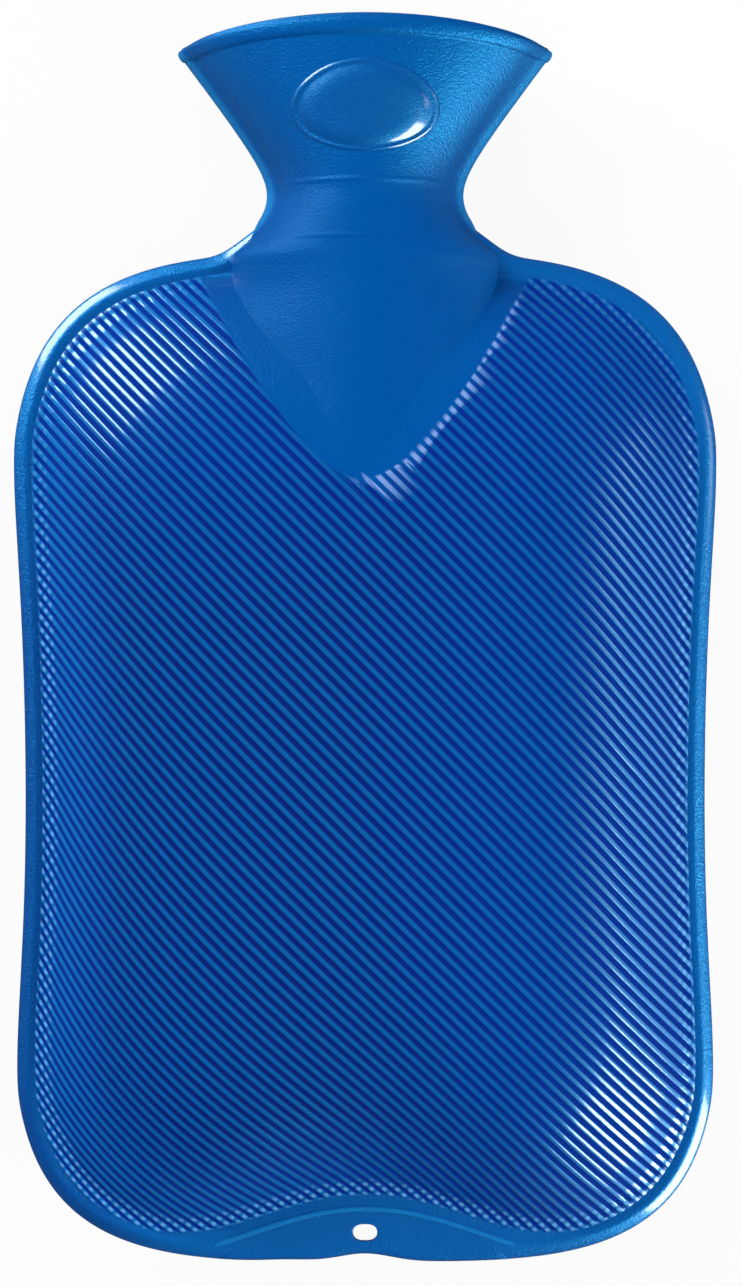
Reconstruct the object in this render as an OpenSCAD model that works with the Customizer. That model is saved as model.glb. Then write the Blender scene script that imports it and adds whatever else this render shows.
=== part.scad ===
// Hot water bottle, lying on its back. X is its width, Y its length towards the
// funnel, Z its thickness. Heights are taken from the bottom edge up along Y.
// All sizes are in millimetres.

/* [Body] */
// Width over the seam flange at the shoulders
shoulder_width = 194.4; // [170:0.2:210]
// Width over the seam flange at the waist
waist_width = 185.2; // [165:0.2:200]
// Width over the seam flange near the foot
foot_width = 193; // [168:0.2:208]
// Height of the shoulder line above the bottom edge
body_length = 275.1; // [255:0.1:290]
// Thickness of the body over its ribs
body_thickness = 64; // [56:0.2:72]
// Wall of the body behind the ribs
wall = 1.9; // [1.4:0.1:2.4]
// Depth over which the body rounds off towards its flange
edge_softness = 24; // [18:0.5:30]

/* [Seam flange] */
// Width of the flat flange round the body
flange_border = 7; // [5:0.2:10]
// Thickness of the flange
flange_thickness = 2.8; // [2:0.1:3.6]
// Width of the flange beside the neck and the funnel
neck_flange = 2.9; // [2:0.1:4]

/* [Ribs] */
// Distance from one diagonal rib to the next
rib_pitch = 2.75; // [2.6:0.05:4]
// Height of a rib over the groove beside it
rib_height = 0.6; // [0.4:0.05:1.1]

/* [Smooth yoke] */
// Length of the smooth yoke from the shoulder line down to its point
yoke_length = 63.4; // [50:0.1:75]
// Width of the yoke at the shoulder
yoke_width = 90; // [80:0.5:100]

/* [Neck] */
// Diameter of the neck without its flange
neck_diameter = 47.8; // [46.4:0.2:54]
// Length from the shoulder line up to the narrowest place of the neck
neck_length = 15.4; // [13.4:0.1:18]
// Height of the raised line round the neck
neck_line_height = 0.5; // [0.2:0.1:1]

/* [Funnel] */
// Width of the funnel at the rim without its flange
funnel_width = 97.2; // [84:0.2:108]
// Depth of the funnel at the rim, front to back
funnel_depth = 56; // [50:0.2:60]
// Length of the funnel from the neck up to the sides of the rim
funnel_length = 39.4; // [33:0.1:48]
// Rise of the rim towards the front and the back
rim_rise = 5.8; // [2:0.1:8]
// Wall of the funnel
funnel_wall = 2; // [1.6:0.1:2.6]
// Height of the rolled lip under the rim
lip_height = 3; // [2:0.1:4.5]
// Thickness by which the lip stands out
lip_thickness = 0.8; // [0.3:0.1:1.4]

/* [Hanging tab] */
// Rise of the smooth tab in the middle of the bottom edge
tab_rise = 13.8; // [10:0.2:18]
// Width of the tab at the bottom edge
tab_width = 124; // [100:1:140]
// Height of the middle of the hanging hole
hole_height = 8; // [6.5:0.1:9.5]
// Width of the hanging hole
hole_width = 6.6; // [5:0.1:9]
// Height of the opening of the hanging hole
hole_opening = 4.6; // [3.6:0.1:5]
// Depth of the shallow notch in the middle of the bottom edge
notch_depth = 2.2; // [0:0.1:3]
// Height of the arched bead on the tab over the flange
bead_height = 0.5; // [0.2:0.1:0.8]
// Width of the arched bead
bead_width = 1.6; // [1:0.1:2.4]

/* [Threaded insert] */
// Outer diameter of the insert
insert_diameter = 41.6; // [39:0.2:42]
// Diameter of the threaded bore
bore_diameter = 27; // [24:0.2:28.4]
// Length of the insert
insert_length = 14.1; // [11:0.1:15.4]
// Length of the insert that stands above the narrowest place of the neck
insert_rise = 3.45; // [2.6:0.05:4.6]
// Gap left round the insert in its seat
seat_gap = 0.05; // [0.02:0.01:0.1]

/* [Seal washer] */
// Outer diameter of the washer
washer_diameter = 36; // [33:0.2:37]
// Thickness of the washer
washer_thickness = 2; // [1.2:0.1:3]
// Gap between the washer and the plug
washer_gap = 0.06; // [0.02:0.01:0.2]

/* [Stopper] */
// Diameter of the head that presses on the washer
head_diameter = 37; // [34:0.2:37.6]
// Thickness of the head
head_thickness = 3.4; // [2.6:0.1:4.2]
// Length of the plug below the head
plug_length = 17.5; // [12:0.1:22]
// Running gap between the plug and the bore
plug_gap = 0.06; // [0.02:0.01:0.1]
// Wall of the hollow plug
plug_wall = 3.2; // [2:0.1:5]
// Width of the wing grip
grip_width = 35; // [28:0.2:36]
// Thickness of the wing grip
grip_thickness = 7; // [5:0.1:10]
// Height of the wing grip over the head
grip_height = 20; // [14:0.2:24]

/* [Hidden] */
$fn = 48;

overlap = 1;
sliver = 0.01;

// heights that follow from the lengths above
neck_height = body_length + neck_length;
rim_height = neck_height + funnel_length;
yoke_tip_height = body_length - yoke_length;
insert_top = neck_height + insert_rise;
insert_height = insert_top - insert_length;

// frame: the bottle lies centred on the origin, its seam half way up
half_length = (rim_height + rim_rise) / 2;
seam_level = body_thickness / 2;

// outline of the body
shoulder_level = body_length * 0.815;
waist_level = body_length * 0.456;
foot_level = body_length * 0.165;
corner_reach = shoulder_width * 0.473;
upper_power = 3.6;
lower_power = 3.9;
notch_spread = 10;

// ribbed face
face_height = body_thickness / 2 - rib_height / 2;
face_border = flange_border - 1;
face_reach = corner_reach - flange_border;
face_depth = flange_thickness / 2 - 0.9;
dome_rate = face_reach / edge_softness;
line_parts = 9;
tip_cut = 1.3;
halvings = 15;

// neck, yoke and funnel
round_parts = 30;
neck_radius = neck_diameter / 2;
flare_rate = 0.05;
yoke_top_height = body_length - 4.8;
yoke_power = 0.63;
funnel_slope = 0.77;
rim_reach = rim_height - neck_height;
rim_power = 1.6;
funnel_bow = bow_of(funnel_width / 2 - neck_radius, funnel_slope * rim_reach);
seat_top = insert_top + seat_gap;
seat_bottom = insert_height - seat_gap;
seat_radius = insert_diameter / 2 + seat_gap;
throat_radius = seat_radius - 0.85;
passage_radius = seat_radius - 2.6;

// stopper
head_height = insert_top + washer_thickness;
plug_radius = bore_diameter / 2 - plug_gap;
grip_bottom = head_height + head_thickness;

function limit(v, low, high) = max(low, min(high, v));
function bow_of(gain, run) = (run * run - gain * gain) / (2 * gain);

// half the width of the body at height h, waisted between shoulders and foot
function side_reach(h) =
    h > waist_level
    ? (waist_width + (shoulder_width - waist_width)
       * pow(limit((h - waist_level) / (shoulder_level - waist_level), 0, 1), 2)) / 2
    : (waist_width + (foot_width - waist_width)
       * pow(limit((waist_level - h) / (waist_level - foot_level), 0, 1), 2)) / 2;

// rise of the lower edge of the ribbed face over the tab
function tab_arch(x) =
    abs(x) < tab_width / 2 ? tab_rise * pow(cos(180 * x / tab_width), 2) : 0;

// place between the middle (0) and the edge (1) of a face set in by border
function face_place(x, h, border) =
    let (u = abs(x) / (side_reach(h) - border),
         top = (h - (body_length - border - face_reach)) / face_reach,
         low = (border + tab_arch(x) + face_reach - h) / face_reach,
         v = max(0, top, low),
         p = top > low ? upper_power : lower_power)
    pow(pow(u, p) + pow(v, p), 1 / p);

// height of the domed face over the seam, full at the middle
function dome(place, full) =
    let (l = 1 - min(place, 1))
    full * (1 - exp(-dome_rate * l) - dome_rate * l * exp(-dome_rate))
    / (1 - exp(-dome_rate) * (1 + dome_rate));

function face_level(x, h, border, full) = dome(face_place(x, h, border), full);

// distance from p along way to the edge of the face, found by halving
function edge_run(p, way, border, low, high, steps) =
    let (mid = (low + high) / 2, q = p + way * mid)
    steps == 0 ? mid
    : face_place(q[0], q[1], border) < 1
    ? edge_run(p, way, border, mid, high, steps - 1)
    : edge_run(p, way, border, low, mid, steps - 1);

// the bottle's outline beside the neck and the funnel, without its flange
function neck_reach(h) =
    h > neck_height
    ? neck_radius + sqrt(pow(funnel_bow, 2) + pow(funnel_slope * (h - neck_height), 2))
      - funnel_bow
    : neck_radius + flare_rate * pow(neck_height - h, 2);

function neck_depth(h) =
    h > neck_height
    ? neck_radius + (funnel_depth / 2 - neck_radius)
      * pow((h - neck_height) / rim_reach, 1.2)
    : neck_radius + (face_level(0, yoke_tip_height, face_border, face_height) + 0.4
      - neck_radius) * (neck_height - h) / (neck_height - yoke_tip_height);

// the yoke meets the ribbed face along a V; its section is an ellipse through that V
function yoke_edge(h) =
    yoke_width / 2
    * pow(limit((h - yoke_tip_height) / (yoke_top_height - yoke_tip_height), 0, 1), yoke_power);

function yoke_reach(h) =
    let (v = yoke_edge(h), z = face_level(v, h, face_border, face_height), d = neck_depth(h))
    h > yoke_top_height ? neck_reach(h) : v / sqrt(1 - pow(min(z / d, 0.985), 2));

// one ring round the axis of the neck, raised at the front and back for the rim
function neck_ring(h, reach, depth, rise = 0) =
    [for (i = [0 : round_parts - 1])
        let (a = 360 * i / round_parts)
        [reach * cos(a), h + rise * pow(abs(sin(a)), rim_power), depth * sin(a)]];

function total(list, i = 0) = i == len(list) ? [0, 0, 0] : list[i] + total(list, i + 1);
function mean_point(ring) = total(ring) / len(ring);

// solid through a stack of rings, each end closed round a middle point
module ring_stack(rings) {
    n = len(rings[0]);
    last = len(rings) - 1;
    middle = len(rings) * n;
    polyhedron(
        points = concat([for (ring = rings) for (p = ring) p],
                        [mean_point(rings[0]), mean_point(rings[last])]),
        faces = concat(
            [for (k = [0 : last - 1]) for (i = [0 : n - 1])
                [k * n + i, k * n + (i + 1) % n, (k + 1) * n + i]],
            [for (k = [0 : last - 1]) for (i = [0 : n - 1])
                [k * n + (i + 1) % n, (k + 1) * n + (i + 1) % n, (k + 1) * n + i]],
            [for (i = [0 : n - 1]) [middle, (i + 1) % n, i]],
            [for (i = [0 : n - 1]) [middle + 1, last * n + i, last * n + (i + 1) % n]]),
        convexity = 8);
}

// puts things made with the seam at Z = 0 and the bottom edge at Y = 0 into the frame
module in_frame() {
    translate([0, -half_length, seam_level]) children();
}

// round things on the axis of the neck, drawn upwards from height h
module on_axis(h) {
    in_frame() translate([0, h, 0]) rotate([-90, 0, 0]) children();
}

module front_and_back() {
    for (turn = [0, 180]) rotate([0, turn, 0]) children();
}

// corner of a face where its edge runs square to the lines
function line_corner(border, side, power) =
    let (part = pow(0.5, 1 / power),
         h = side > 0 ? body_length - border - face_reach * (1 - part)
                      : border + face_reach * (1 - part))
    [side * (side_reach(h) - border) * part, h];

function across(p) = (p[0] + p[1]) / sqrt(2);

// points of one diagonal line over a face, from its upper left to its lower right end
function face_line(c, border, full, a, b) =
    let (f = (c - across(a)) / (across(b) - across(a)),
         p = a + (b - a) * f,
         way = [1, -1] / sqrt(2),
         start = -edge_run(p, -way, border, 0, body_length, halvings),
         end = edge_run(p, way, border, 0, body_length, halvings))
    [for (j = [0 : line_parts])
        let (t = start + (end - start) * (1 - cos(180 * j / line_parts)) / 2,
             q = p + way * t)
        [q[0], q[1], j == 0 || j == line_parts
            ? -face_depth : face_level(q[0], q[1], border, full)]];

// domed half of the body on diagonal lines; every second line stands up as a rib
module domed_half(border, full, pitch, height) {
    a = line_corner(border, -1, lower_power);
    b = line_corner(border, 1, upper_power);
    first = across(a) + tip_cut;
    count = floor((across(b) - tip_cut - first) / pitch);
    lines = [for (i = [0 : count])
        let (line = face_line(first + i * pitch, border, full, a, b))
        [for (j = [0 : line_parts])
            line[j] + [0, 0, j == 0 || j == line_parts ? 0
                             : i % 2 == 0 ? height / 2 : -height / 2]]];
    m = line_parts + 1;
    polyhedron(
        points = [for (line = lines) for (p = line) p],
        faces = concat(
            [for (i = [0 : count - 1]) for (j = [0 : line_parts - 1])
                [i * m + j, (i + 1) * m + j, i * m + j + 1]],
            [for (i = [0 : count - 1]) for (j = [0 : line_parts - 1])
                [(i + 1) * m + j, (i + 1) * m + j + 1, i * m + j + 1]],
            [for (i = [0 : count - 1]) [i * m, i * m + m - 1, (i + 1) * m + m - 1]],
            [for (i = [0 : count - 1]) [i * m, (i + 1) * m + m - 1, (i + 1) * m]],
            [[for (j = [0 : line_parts]) j]],
            [[for (j = [line_parts : -1 : 0]) count * m + j]]),
        convexity = 8);
}

// outline of the seam flange round the body
module body_outline() {
    side_steps = 12;
    corner_steps = 12;
    foot_steps = 5;
    foot = [for (i = [0 : foot_steps])
        let (x = notch_spread * i / 2)
        [x, notch_depth * exp(-pow(x / notch_spread, 2))]];
    lower = [for (i = [corner_steps - 1 : -1 : 1])
        let (a = 90 * i / corner_steps,
             h = corner_reach * (1 - pow(sin(a), 2 / lower_power)))
        [side_reach(h) * pow(cos(a), 2 / lower_power), h]];
    side = [for (i = [0 : side_steps])
        let (h = corner_reach + (body_length - 2 * corner_reach) * i / side_steps)
        [side_reach(h), h]];
    upper = [for (i = [1 : corner_steps])
        let (a = 90 * i / corner_steps,
             h = body_length - corner_reach * (1 - pow(sin(a), 2 / upper_power)))
        [side_reach(h) * pow(cos(a), 2 / upper_power), h]];
    right = concat(foot, lower, side, upper);
    polygon(concat(right, [for (i = [len(right) - 2 : -1 : 1]) [-right[i][0], right[i][1]]]));
}

// outline of the flange beside the neck and the funnel
module neck_outline() {
    steps = 17;
    corner = 1.6;
    low = body_length - 3;
    high = rim_height - 0.5;
    side = [for (i = [0 : steps])
        let (h = low + (high - corner - low) * i / steps)
        [neck_reach(h) + neck_flange, h]];
    right = concat(side, [[neck_reach(high) + neck_flange - corner, high]]);
    polygon(concat(right, [for (i = [steps + 1 : -1 : 0]) [-right[i][0], right[i][1]]]));
}

module seam_flange() {
    translate([0, 0, -flange_thickness / 2])
        linear_extrude(flange_thickness) {
            body_outline();
            neck_outline();
        }
}

// arched bead across the tab, on both sides of the flange
module tab_bead() {
    steps = 14;
    reach = tab_width * 0.385;
    base = 3;
    top = tab_rise + 1.4;
    arch = [for (i = [-steps : 2 : steps])
        let (x = reach * i / steps) [x, base + (top - base) * pow(cos(90 * i / steps), 1.3)]];
    thick = flange_thickness + 2 * bead_height;
    translate([0, 0, -thick / 2]) linear_extrude(thick)
        polygon(concat([for (p = arch) p],
                       [for (i = [len(arch) - 1 : -1 : 0]) arch[i] - [0, bead_width]]));
}

// neck from the point of the yoke to the rim of the funnel
module neck_shell() {
    yoke_steps = 6;
    low = yoke_tip_height + 1.2;
    line = neck_line_height;
    plain = concat(
        [for (i = [0 : yoke_steps]) low + (yoke_top_height - low) * i / yoke_steps],
        [yoke_top_height + 4.4, insert_height - 1.4]);
    upper = [for (i = [1 : 8])
        seat_top + 1.2 + (rim_height - lip_height - seat_top - 1.2) * i / 8];
    band = concat(
        [for (h = [insert_height - 0.6, insert_height + 0.6]) [h, line]],
        [for (h = [insert_height + 1.4, neck_height - 3, seat_top - 1.2]) [h, 0]],
        [for (h = [seat_top - 0.5, seat_top + 0.5]) [h, line]],
        [[seat_top + 1.2, 0]]);
    ring_stack(concat(
        [for (h = plain) neck_ring(h, yoke_reach(h), neck_depth(h))],
        [for (b = band) neck_ring(b[0], neck_reach(b[0]) + b[1], neck_depth(b[0]) + b[1])],
        [for (h = upper) let (f = (h - seat_top) / (rim_height - seat_top))
            neck_ring(h, neck_reach(h), neck_depth(h), rim_rise * f * f * f)],
        [for (s = [[0.3, 1], [0.9, 1], [1, 0.6]])
            let (h = rim_height - lip_height * (1 - s[0]))
            neck_ring(h, neck_reach(h) + lip_thickness * s[1],
                      neck_depth(h) + lip_thickness * s[1], rim_rise)]));
}

// space inside the yoke, between the body and the seat of the insert
module yoke_space() {
    steps = 5;
    low = yoke_tip_height + 6;
    high = yoke_top_height - 1;
    ring_stack(concat(
        [for (i = [0 : steps])
            let (h = low + (high - low) * i / steps, r = min(yoke_reach(h), yoke_width * 0.55))
            neck_ring(h, r - wall * 2, neck_depth(h) - wall)],
        [neck_ring(insert_height - 2.2, passage_radius + 1, passage_radius + 1)],
        [neck_ring(insert_height - 1.2, passage_radius, passage_radius)],
        [neck_ring(insert_height + 1, passage_radius, passage_radius)]));
}

// inside of the funnel, open past the rim
module funnel_space() {
    steps = 7;
    low = seat_top + 2;
    ring_stack(concat(
        [neck_ring(seat_top - 1, throat_radius, throat_radius),
         neck_ring(low, throat_radius, throat_radius)],
        [for (i = [1 : steps])
            let (h = low + (rim_height - low) * i / steps, f = i / steps,
                 r = neck_reach(h) - funnel_wall, d = neck_depth(h) - funnel_wall)
            neck_ring(h, max(r, throat_radius), max(d, throat_radius),
                      rim_rise * f * f * f)],
        [neck_ring(rim_height + overlap * 3, neck_reach(rim_height) - funnel_wall + 1.5,
                   neck_depth(rim_height) - funnel_wall + 1, rim_rise)]));
}

// the whole moulded body with its ribs, neck, funnel and tab
module bottle() {
    color([0.05, 0.27, 0.62])
    difference() {
        union() {
            in_frame() seam_flange();
            in_frame() tab_bead();
            in_frame() front_and_back()
                domed_half(face_border, face_height, rib_pitch / 2, rib_height);
            in_frame() neck_shell();
        }
        in_frame() front_and_back()
            domed_half(face_border + wall * 1.6, face_height - rib_height / 2 - wall, 9, 0);
        in_frame() yoke_space();
        in_frame() funnel_space();
        on_axis(seat_bottom) cylinder(h = seat_top - seat_bottom, r = seat_radius);
        in_frame() hanging_hole();
    }
}

// long hole with round ends through the tab
module hanging_hole() {
    r = hole_opening / 2;
    run = (hole_width - hole_opening) / 2;
    translate([0, hole_height, -flange_thickness])
        linear_extrude(flange_thickness * 2) {
            for (s = [-1, 1]) translate([s * run, 0]) circle(r);
            square([run * 2, hole_opening], center = true);
        }
}

// threaded ring in the neck, here with a plain bore
module neck_insert() {
    lead_in = 0.8;
    groove = 1;
    color([0.04, 0.2, 0.5])
    on_axis(insert_height) difference() {
        cylinder(h = insert_length, r = insert_diameter / 2);
        translate([0, 0, -overlap]) cylinder(h = insert_length + 2 * overlap, r = bore_diameter / 2);
        translate([0, 0, insert_length - lead_in])
            cylinder(h = lead_in + sliver, r1 = bore_diameter / 2,
                     r2 = bore_diameter / 2 + lead_in);
        for (part = [0.3, 0.7]) translate([0, 0, insert_length * part - groove / 2])
            difference() {
                cylinder(h = groove, r = insert_diameter);
                translate([0, 0, -overlap])
                    cylinder(h = groove + 2 * overlap, r = insert_diameter / 2 - groove);
            }
    }
}

// soft ring between the insert and the head of the stopper
module seal_washer() {
    color([0.78, 0.78, 0.76])
    on_axis(insert_top) difference() {
        cylinder(h = washer_thickness, r = washer_diameter / 2);
        translate([0, 0, -overlap])
            cylinder(h = washer_thickness + 2 * overlap, r = plug_radius + washer_gap);
    }
}

// screw stopper: hollow plug, round head and a wing to turn it by
module stopper() {
    edge = 0.8;
    corner = grip_height * 0.35;
    hub = grip_thickness * 1.1;
    dimple = grip_height * 0.9;
    color([0.06, 0.3, 0.66])
    difference() {
        union() {
            on_axis(head_height - plug_length) {
                cylinder(h = edge + sliver, r1 = plug_radius - edge, r2 = plug_radius);
                translate([0, 0, edge]) cylinder(h = plug_length - edge + sliver, r = plug_radius);
            }
            on_axis(head_height) {
                cylinder(h = head_thickness - edge, r = head_diameter / 2);
                translate([0, 0, head_thickness - edge])
                    cylinder(h = edge, r1 = head_diameter / 2, r2 = head_diameter / 2 - edge);
                cylinder(h = head_thickness + grip_height * 0.5, r1 = hub, r2 = hub * 0.7);
            }
            in_frame() translate([0, grip_bottom - sliver, -grip_thickness / 2])
                linear_extrude(grip_thickness) {
                    translate([-grip_width / 2, 0]) square([grip_width, grip_height - corner]);
                    translate([-grip_width / 2 + corner, 0])
                        square([grip_width - 2 * corner, grip_height]);
                    for (s = [-1, 1])
                        translate([s * (grip_width / 2 - corner), grip_height - corner])
                            circle(corner);
                }
        }
        on_axis(head_height - plug_length - overlap)
            cylinder(h = plug_length + head_thickness / 2, r = plug_radius - plug_wall);
        for (s = [-1, 1], side = [-1, 1])
            in_frame() translate([s * grip_width * 0.29, grip_bottom + grip_height * 0.55,
                                  side * (grip_thickness / 2 + dimple - 1)])
                sphere(dimple);
    }
}

bottle();
neck_insert();
seal_washer();
stopper();
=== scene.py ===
"""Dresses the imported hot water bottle: ribbed skin, neck thread, washer and stopper.

The bottle lies on its back. X is its width, Y its length towards the funnel and Z its
thickness. Shapes are worked out in millimetres, with heights taken from the bottom edge
up along Y and levels taken from the seam, and are put into the frame's metres at the end.
"""

from __future__ import annotations

import functools
import logging
import math
from dataclasses import dataclass
from enum import Enum

import bpy
import numpy as np
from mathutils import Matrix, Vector

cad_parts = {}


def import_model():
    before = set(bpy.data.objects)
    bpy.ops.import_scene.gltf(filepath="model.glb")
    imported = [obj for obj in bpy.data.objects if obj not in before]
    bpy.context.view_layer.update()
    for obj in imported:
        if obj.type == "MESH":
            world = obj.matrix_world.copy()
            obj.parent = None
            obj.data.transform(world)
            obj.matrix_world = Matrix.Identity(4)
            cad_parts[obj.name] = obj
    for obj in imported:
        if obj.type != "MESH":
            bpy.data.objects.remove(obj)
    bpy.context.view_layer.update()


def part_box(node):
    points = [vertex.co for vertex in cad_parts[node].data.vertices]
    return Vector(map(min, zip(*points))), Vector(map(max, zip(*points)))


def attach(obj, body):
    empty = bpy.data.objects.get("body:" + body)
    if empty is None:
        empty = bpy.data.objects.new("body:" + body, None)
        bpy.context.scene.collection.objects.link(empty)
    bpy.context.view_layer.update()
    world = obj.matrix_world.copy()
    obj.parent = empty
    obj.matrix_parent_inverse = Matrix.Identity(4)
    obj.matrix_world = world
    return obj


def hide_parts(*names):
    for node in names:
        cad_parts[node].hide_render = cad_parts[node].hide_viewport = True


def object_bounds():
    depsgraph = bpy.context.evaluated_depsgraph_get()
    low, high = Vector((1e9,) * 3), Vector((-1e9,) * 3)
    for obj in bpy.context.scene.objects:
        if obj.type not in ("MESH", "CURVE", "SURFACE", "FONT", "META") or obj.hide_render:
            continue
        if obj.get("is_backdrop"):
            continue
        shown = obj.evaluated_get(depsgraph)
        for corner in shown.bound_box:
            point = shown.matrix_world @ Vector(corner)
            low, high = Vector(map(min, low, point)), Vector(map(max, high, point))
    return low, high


LOG = logging.getLogger("hot_water_bottle")
MM = 0.001
Array = np.ndarray
Colour = tuple[float, float, float]
Span = tuple[float, float]

# Height of the threaded insert's lower end, which the bottle's neck leaves room for.
INSERT_LOW = 279.85

# Each point of the ribbed faces carries its distance from the face's edge in millimetres.
# The smooth parts carry one of these marks there instead, by which the finish knows them.
# Between the neck's mark and the seam's the finish paints a highlight, stronger towards the
# seam's mark; the beads' mark lies high in that span.
FLANGE_MARK = 0.0
TAB_MARK = 1.6
PAD_MARK = 3.0
NECK_MARK = 200.0
BEAD_HIGHLIGHT_MARK = 232.0
SEAM_HIGHLIGHT_MARK = 240.0


class LampUse(Enum):
    """What a lamp gives: only its mirror image in the gloss, or only even light."""

    SHINE = "shine"
    FILL = "fill"


# Small helpers


def from_screen(red: int, green: int, blue: int) -> Colour:
    """Gives the linear colour of an eight-bit screen colour.

    Args:
        red: Red, 0 to 255.
        green: Green, 0 to 255.
        blue: Blue, 0 to 255.

    Returns:
        The colour as three linear values from 0 to 1.
    """
    parts = (v / 255 for v in (red, green, blue))
    return tuple(v / 12.92 if v <= 0.04045 else ((v + 0.055) / 1.055) ** 2.4 for v in parts)


def smooth(values: Array, low: float, high: float) -> Array:
    """Rises from 0 at low to 1 at high as 3t² - 2t³, level at both ends."""
    t = np.clip((values - low) / (high - low), 0.0, 1.0)
    return t * t * (3.0 - 2.0 * t)


def spread(flat: Array, weight: Array, count: int) -> Array:
    """Places points along each row so that they crowd where the weight is large.

    The weight is summed along the row and scaled to run from 0 to 1; a point stands
    where that sum passes each of count even steps. Row number k is read off the sum
    plus k, so that one interpolation serves all rows.

    Args:
        flat: Positions of the samples along a row, from 0 to 1.
        weight: Rows of weights at those samples.
        count: Number of points wanted on each row.

    Returns:
        Rows of count positions from 0 to 1.
    """
    rows = weight.shape[0]
    sums = np.cumsum(weight, axis=1)
    sums = (sums - sums[:, :1]) / (sums[:, -1:] - sums[:, :1])
    offset = np.arange(rows)[:, None] * 2.0
    wanted = np.linspace(0.0, 1.0, count)[None, :] + offset
    places = np.interp(wanted.ravel(), (sums + offset).ravel(), np.tile(flat, rows))
    return places.reshape(rows, count)


# Meshes


@dataclass
class Patch:
    """A piece of surface: points in millimetres, faces, and the ribs' place at each point.

    A row of ribs holds the rib count, the count of the ribs that cross, the distance from
    the face's edge and the rib mask. A patch without ribs has one mark for all its points.
    """

    points: Array
    faces: list[Array]
    ribs: Array | None = None
    mark: float = FLANGE_MARK

    def turned(self) -> Patch:
        """Turns the patch half a turn about Y, which takes the front to the back."""
        return Patch(self.points * np.array([-1.0, 1.0, -1.0]), self.faces, self.ribs, self.mark)


def grid_faces(rows: int, columns: int, round_rows: bool, flip: bool = False) -> Array:
    """Makes the four-sided faces of a grid of points stored row by row.

    Face (i, j) joins points (i, j), (i, j+1), (i+1, j+1) and (i+1, j).

    Args:
        rows: Number of rows.
        columns: Number of points on a row.
        round_rows: True if the last point of a row joins its first.
        flip: True to turn the faces over.

    Returns:
        The faces as rows of four point numbers.
    """
    i = np.arange(rows - 1)[:, None]
    j = np.arange(columns if round_rows else columns - 1)[None, :]
    after = (j + 1) % columns
    corners = [i * columns + j, i * columns + after, (i + 1) * columns + after,
               (i + 1) * columns + j]
    quads = np.stack([np.broadcast_to(c, (rows - 1, j.size)) for c in corners], axis=-1)
    quads = quads.reshape(-1, 4)
    return quads[:, ::-1] if flip else quads


def ring_patch(rings: Array, closed_ends: bool = True, flip: bool = False) -> Patch:
    """Joins rings of points, each running round an axis, into one surface.

    Args:
        rings: Points as rings by points by three.
        closed_ends: True to fill the first and the last ring with a flat face.
        flip: True to turn the faces over.

    Returns:
        The surface.
    """
    count, around = rings.shape[:2]
    faces = list(grid_faces(count, around, True, flip))
    if closed_ends:
        first = np.arange(around)
        last = first + (count - 1) * around
        faces += [first if flip else first[::-1], last[::-1] if flip else last]
    return Patch(rings.reshape(-1, 3), faces)


def merge(first: Patch, second: Patch) -> Patch:
    """Joins two plain patches into one.

    Args:
        first: First surface.
        second: Second surface; its points are numbered after the first's.

    Returns:
        The surface with the points and faces of both.
    """
    start = len(first.points)
    return Patch(np.concatenate([first.points, second.points]),
                 first.faces + [face + start for face in second.faces])


def make_piece(name: str, patches: list[Patch], origin: Array,
               material: bpy.types.Material) -> bpy.types.Object:
    """Joins patches into one object in the frame.

    Args:
        name: Name of the object.
        patches: Surfaces, in millimetres from the bottom edge and the seam.
        origin: Place of the bottom edge's middle at the seam in the frame, in metres.
        material: Material of the object.

    Returns:
        The new object.
    """
    points, faces, ribs, start = [], [], [], 0
    for patch in patches:
        points.append(patch.points)
        faces += [face + start for face in patch.faces]
        plain = np.tile([0.0, 0.0, patch.mark, 0.0], (len(patch.points), 1))
        ribs.append(plain if patch.ribs is None else patch.ribs)
        start += len(patch.points)
    placed = np.concatenate(points) * MM + origin
    mesh = bpy.data.meshes.new(name)
    mesh.from_pydata(placed, [], [face.tolist() for face in faces])
    mesh.update()
    mesh.polygons.foreach_set("use_smooth", np.full(len(mesh.polygons), True))
    if any(patch.ribs is not None for patch in patches):
        values = np.concatenate(ribs)
        place = mesh.attributes.new("rib_place", "FLOAT_VECTOR", "POINT")
        place.data.foreach_set("vector", np.ascontiguousarray(values[:, :3], np.float32).ravel())
        mask = mesh.attributes.new("rib_mask", "FLOAT", "POINT")
        mask.data.foreach_set("value", np.ascontiguousarray(values[:, 3], np.float32))
    mesh.materials.append(material)
    piece = bpy.data.objects.new(name, mesh)
    bpy.context.scene.collection.objects.link(piece)
    return piece


# The bottle's form


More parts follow.
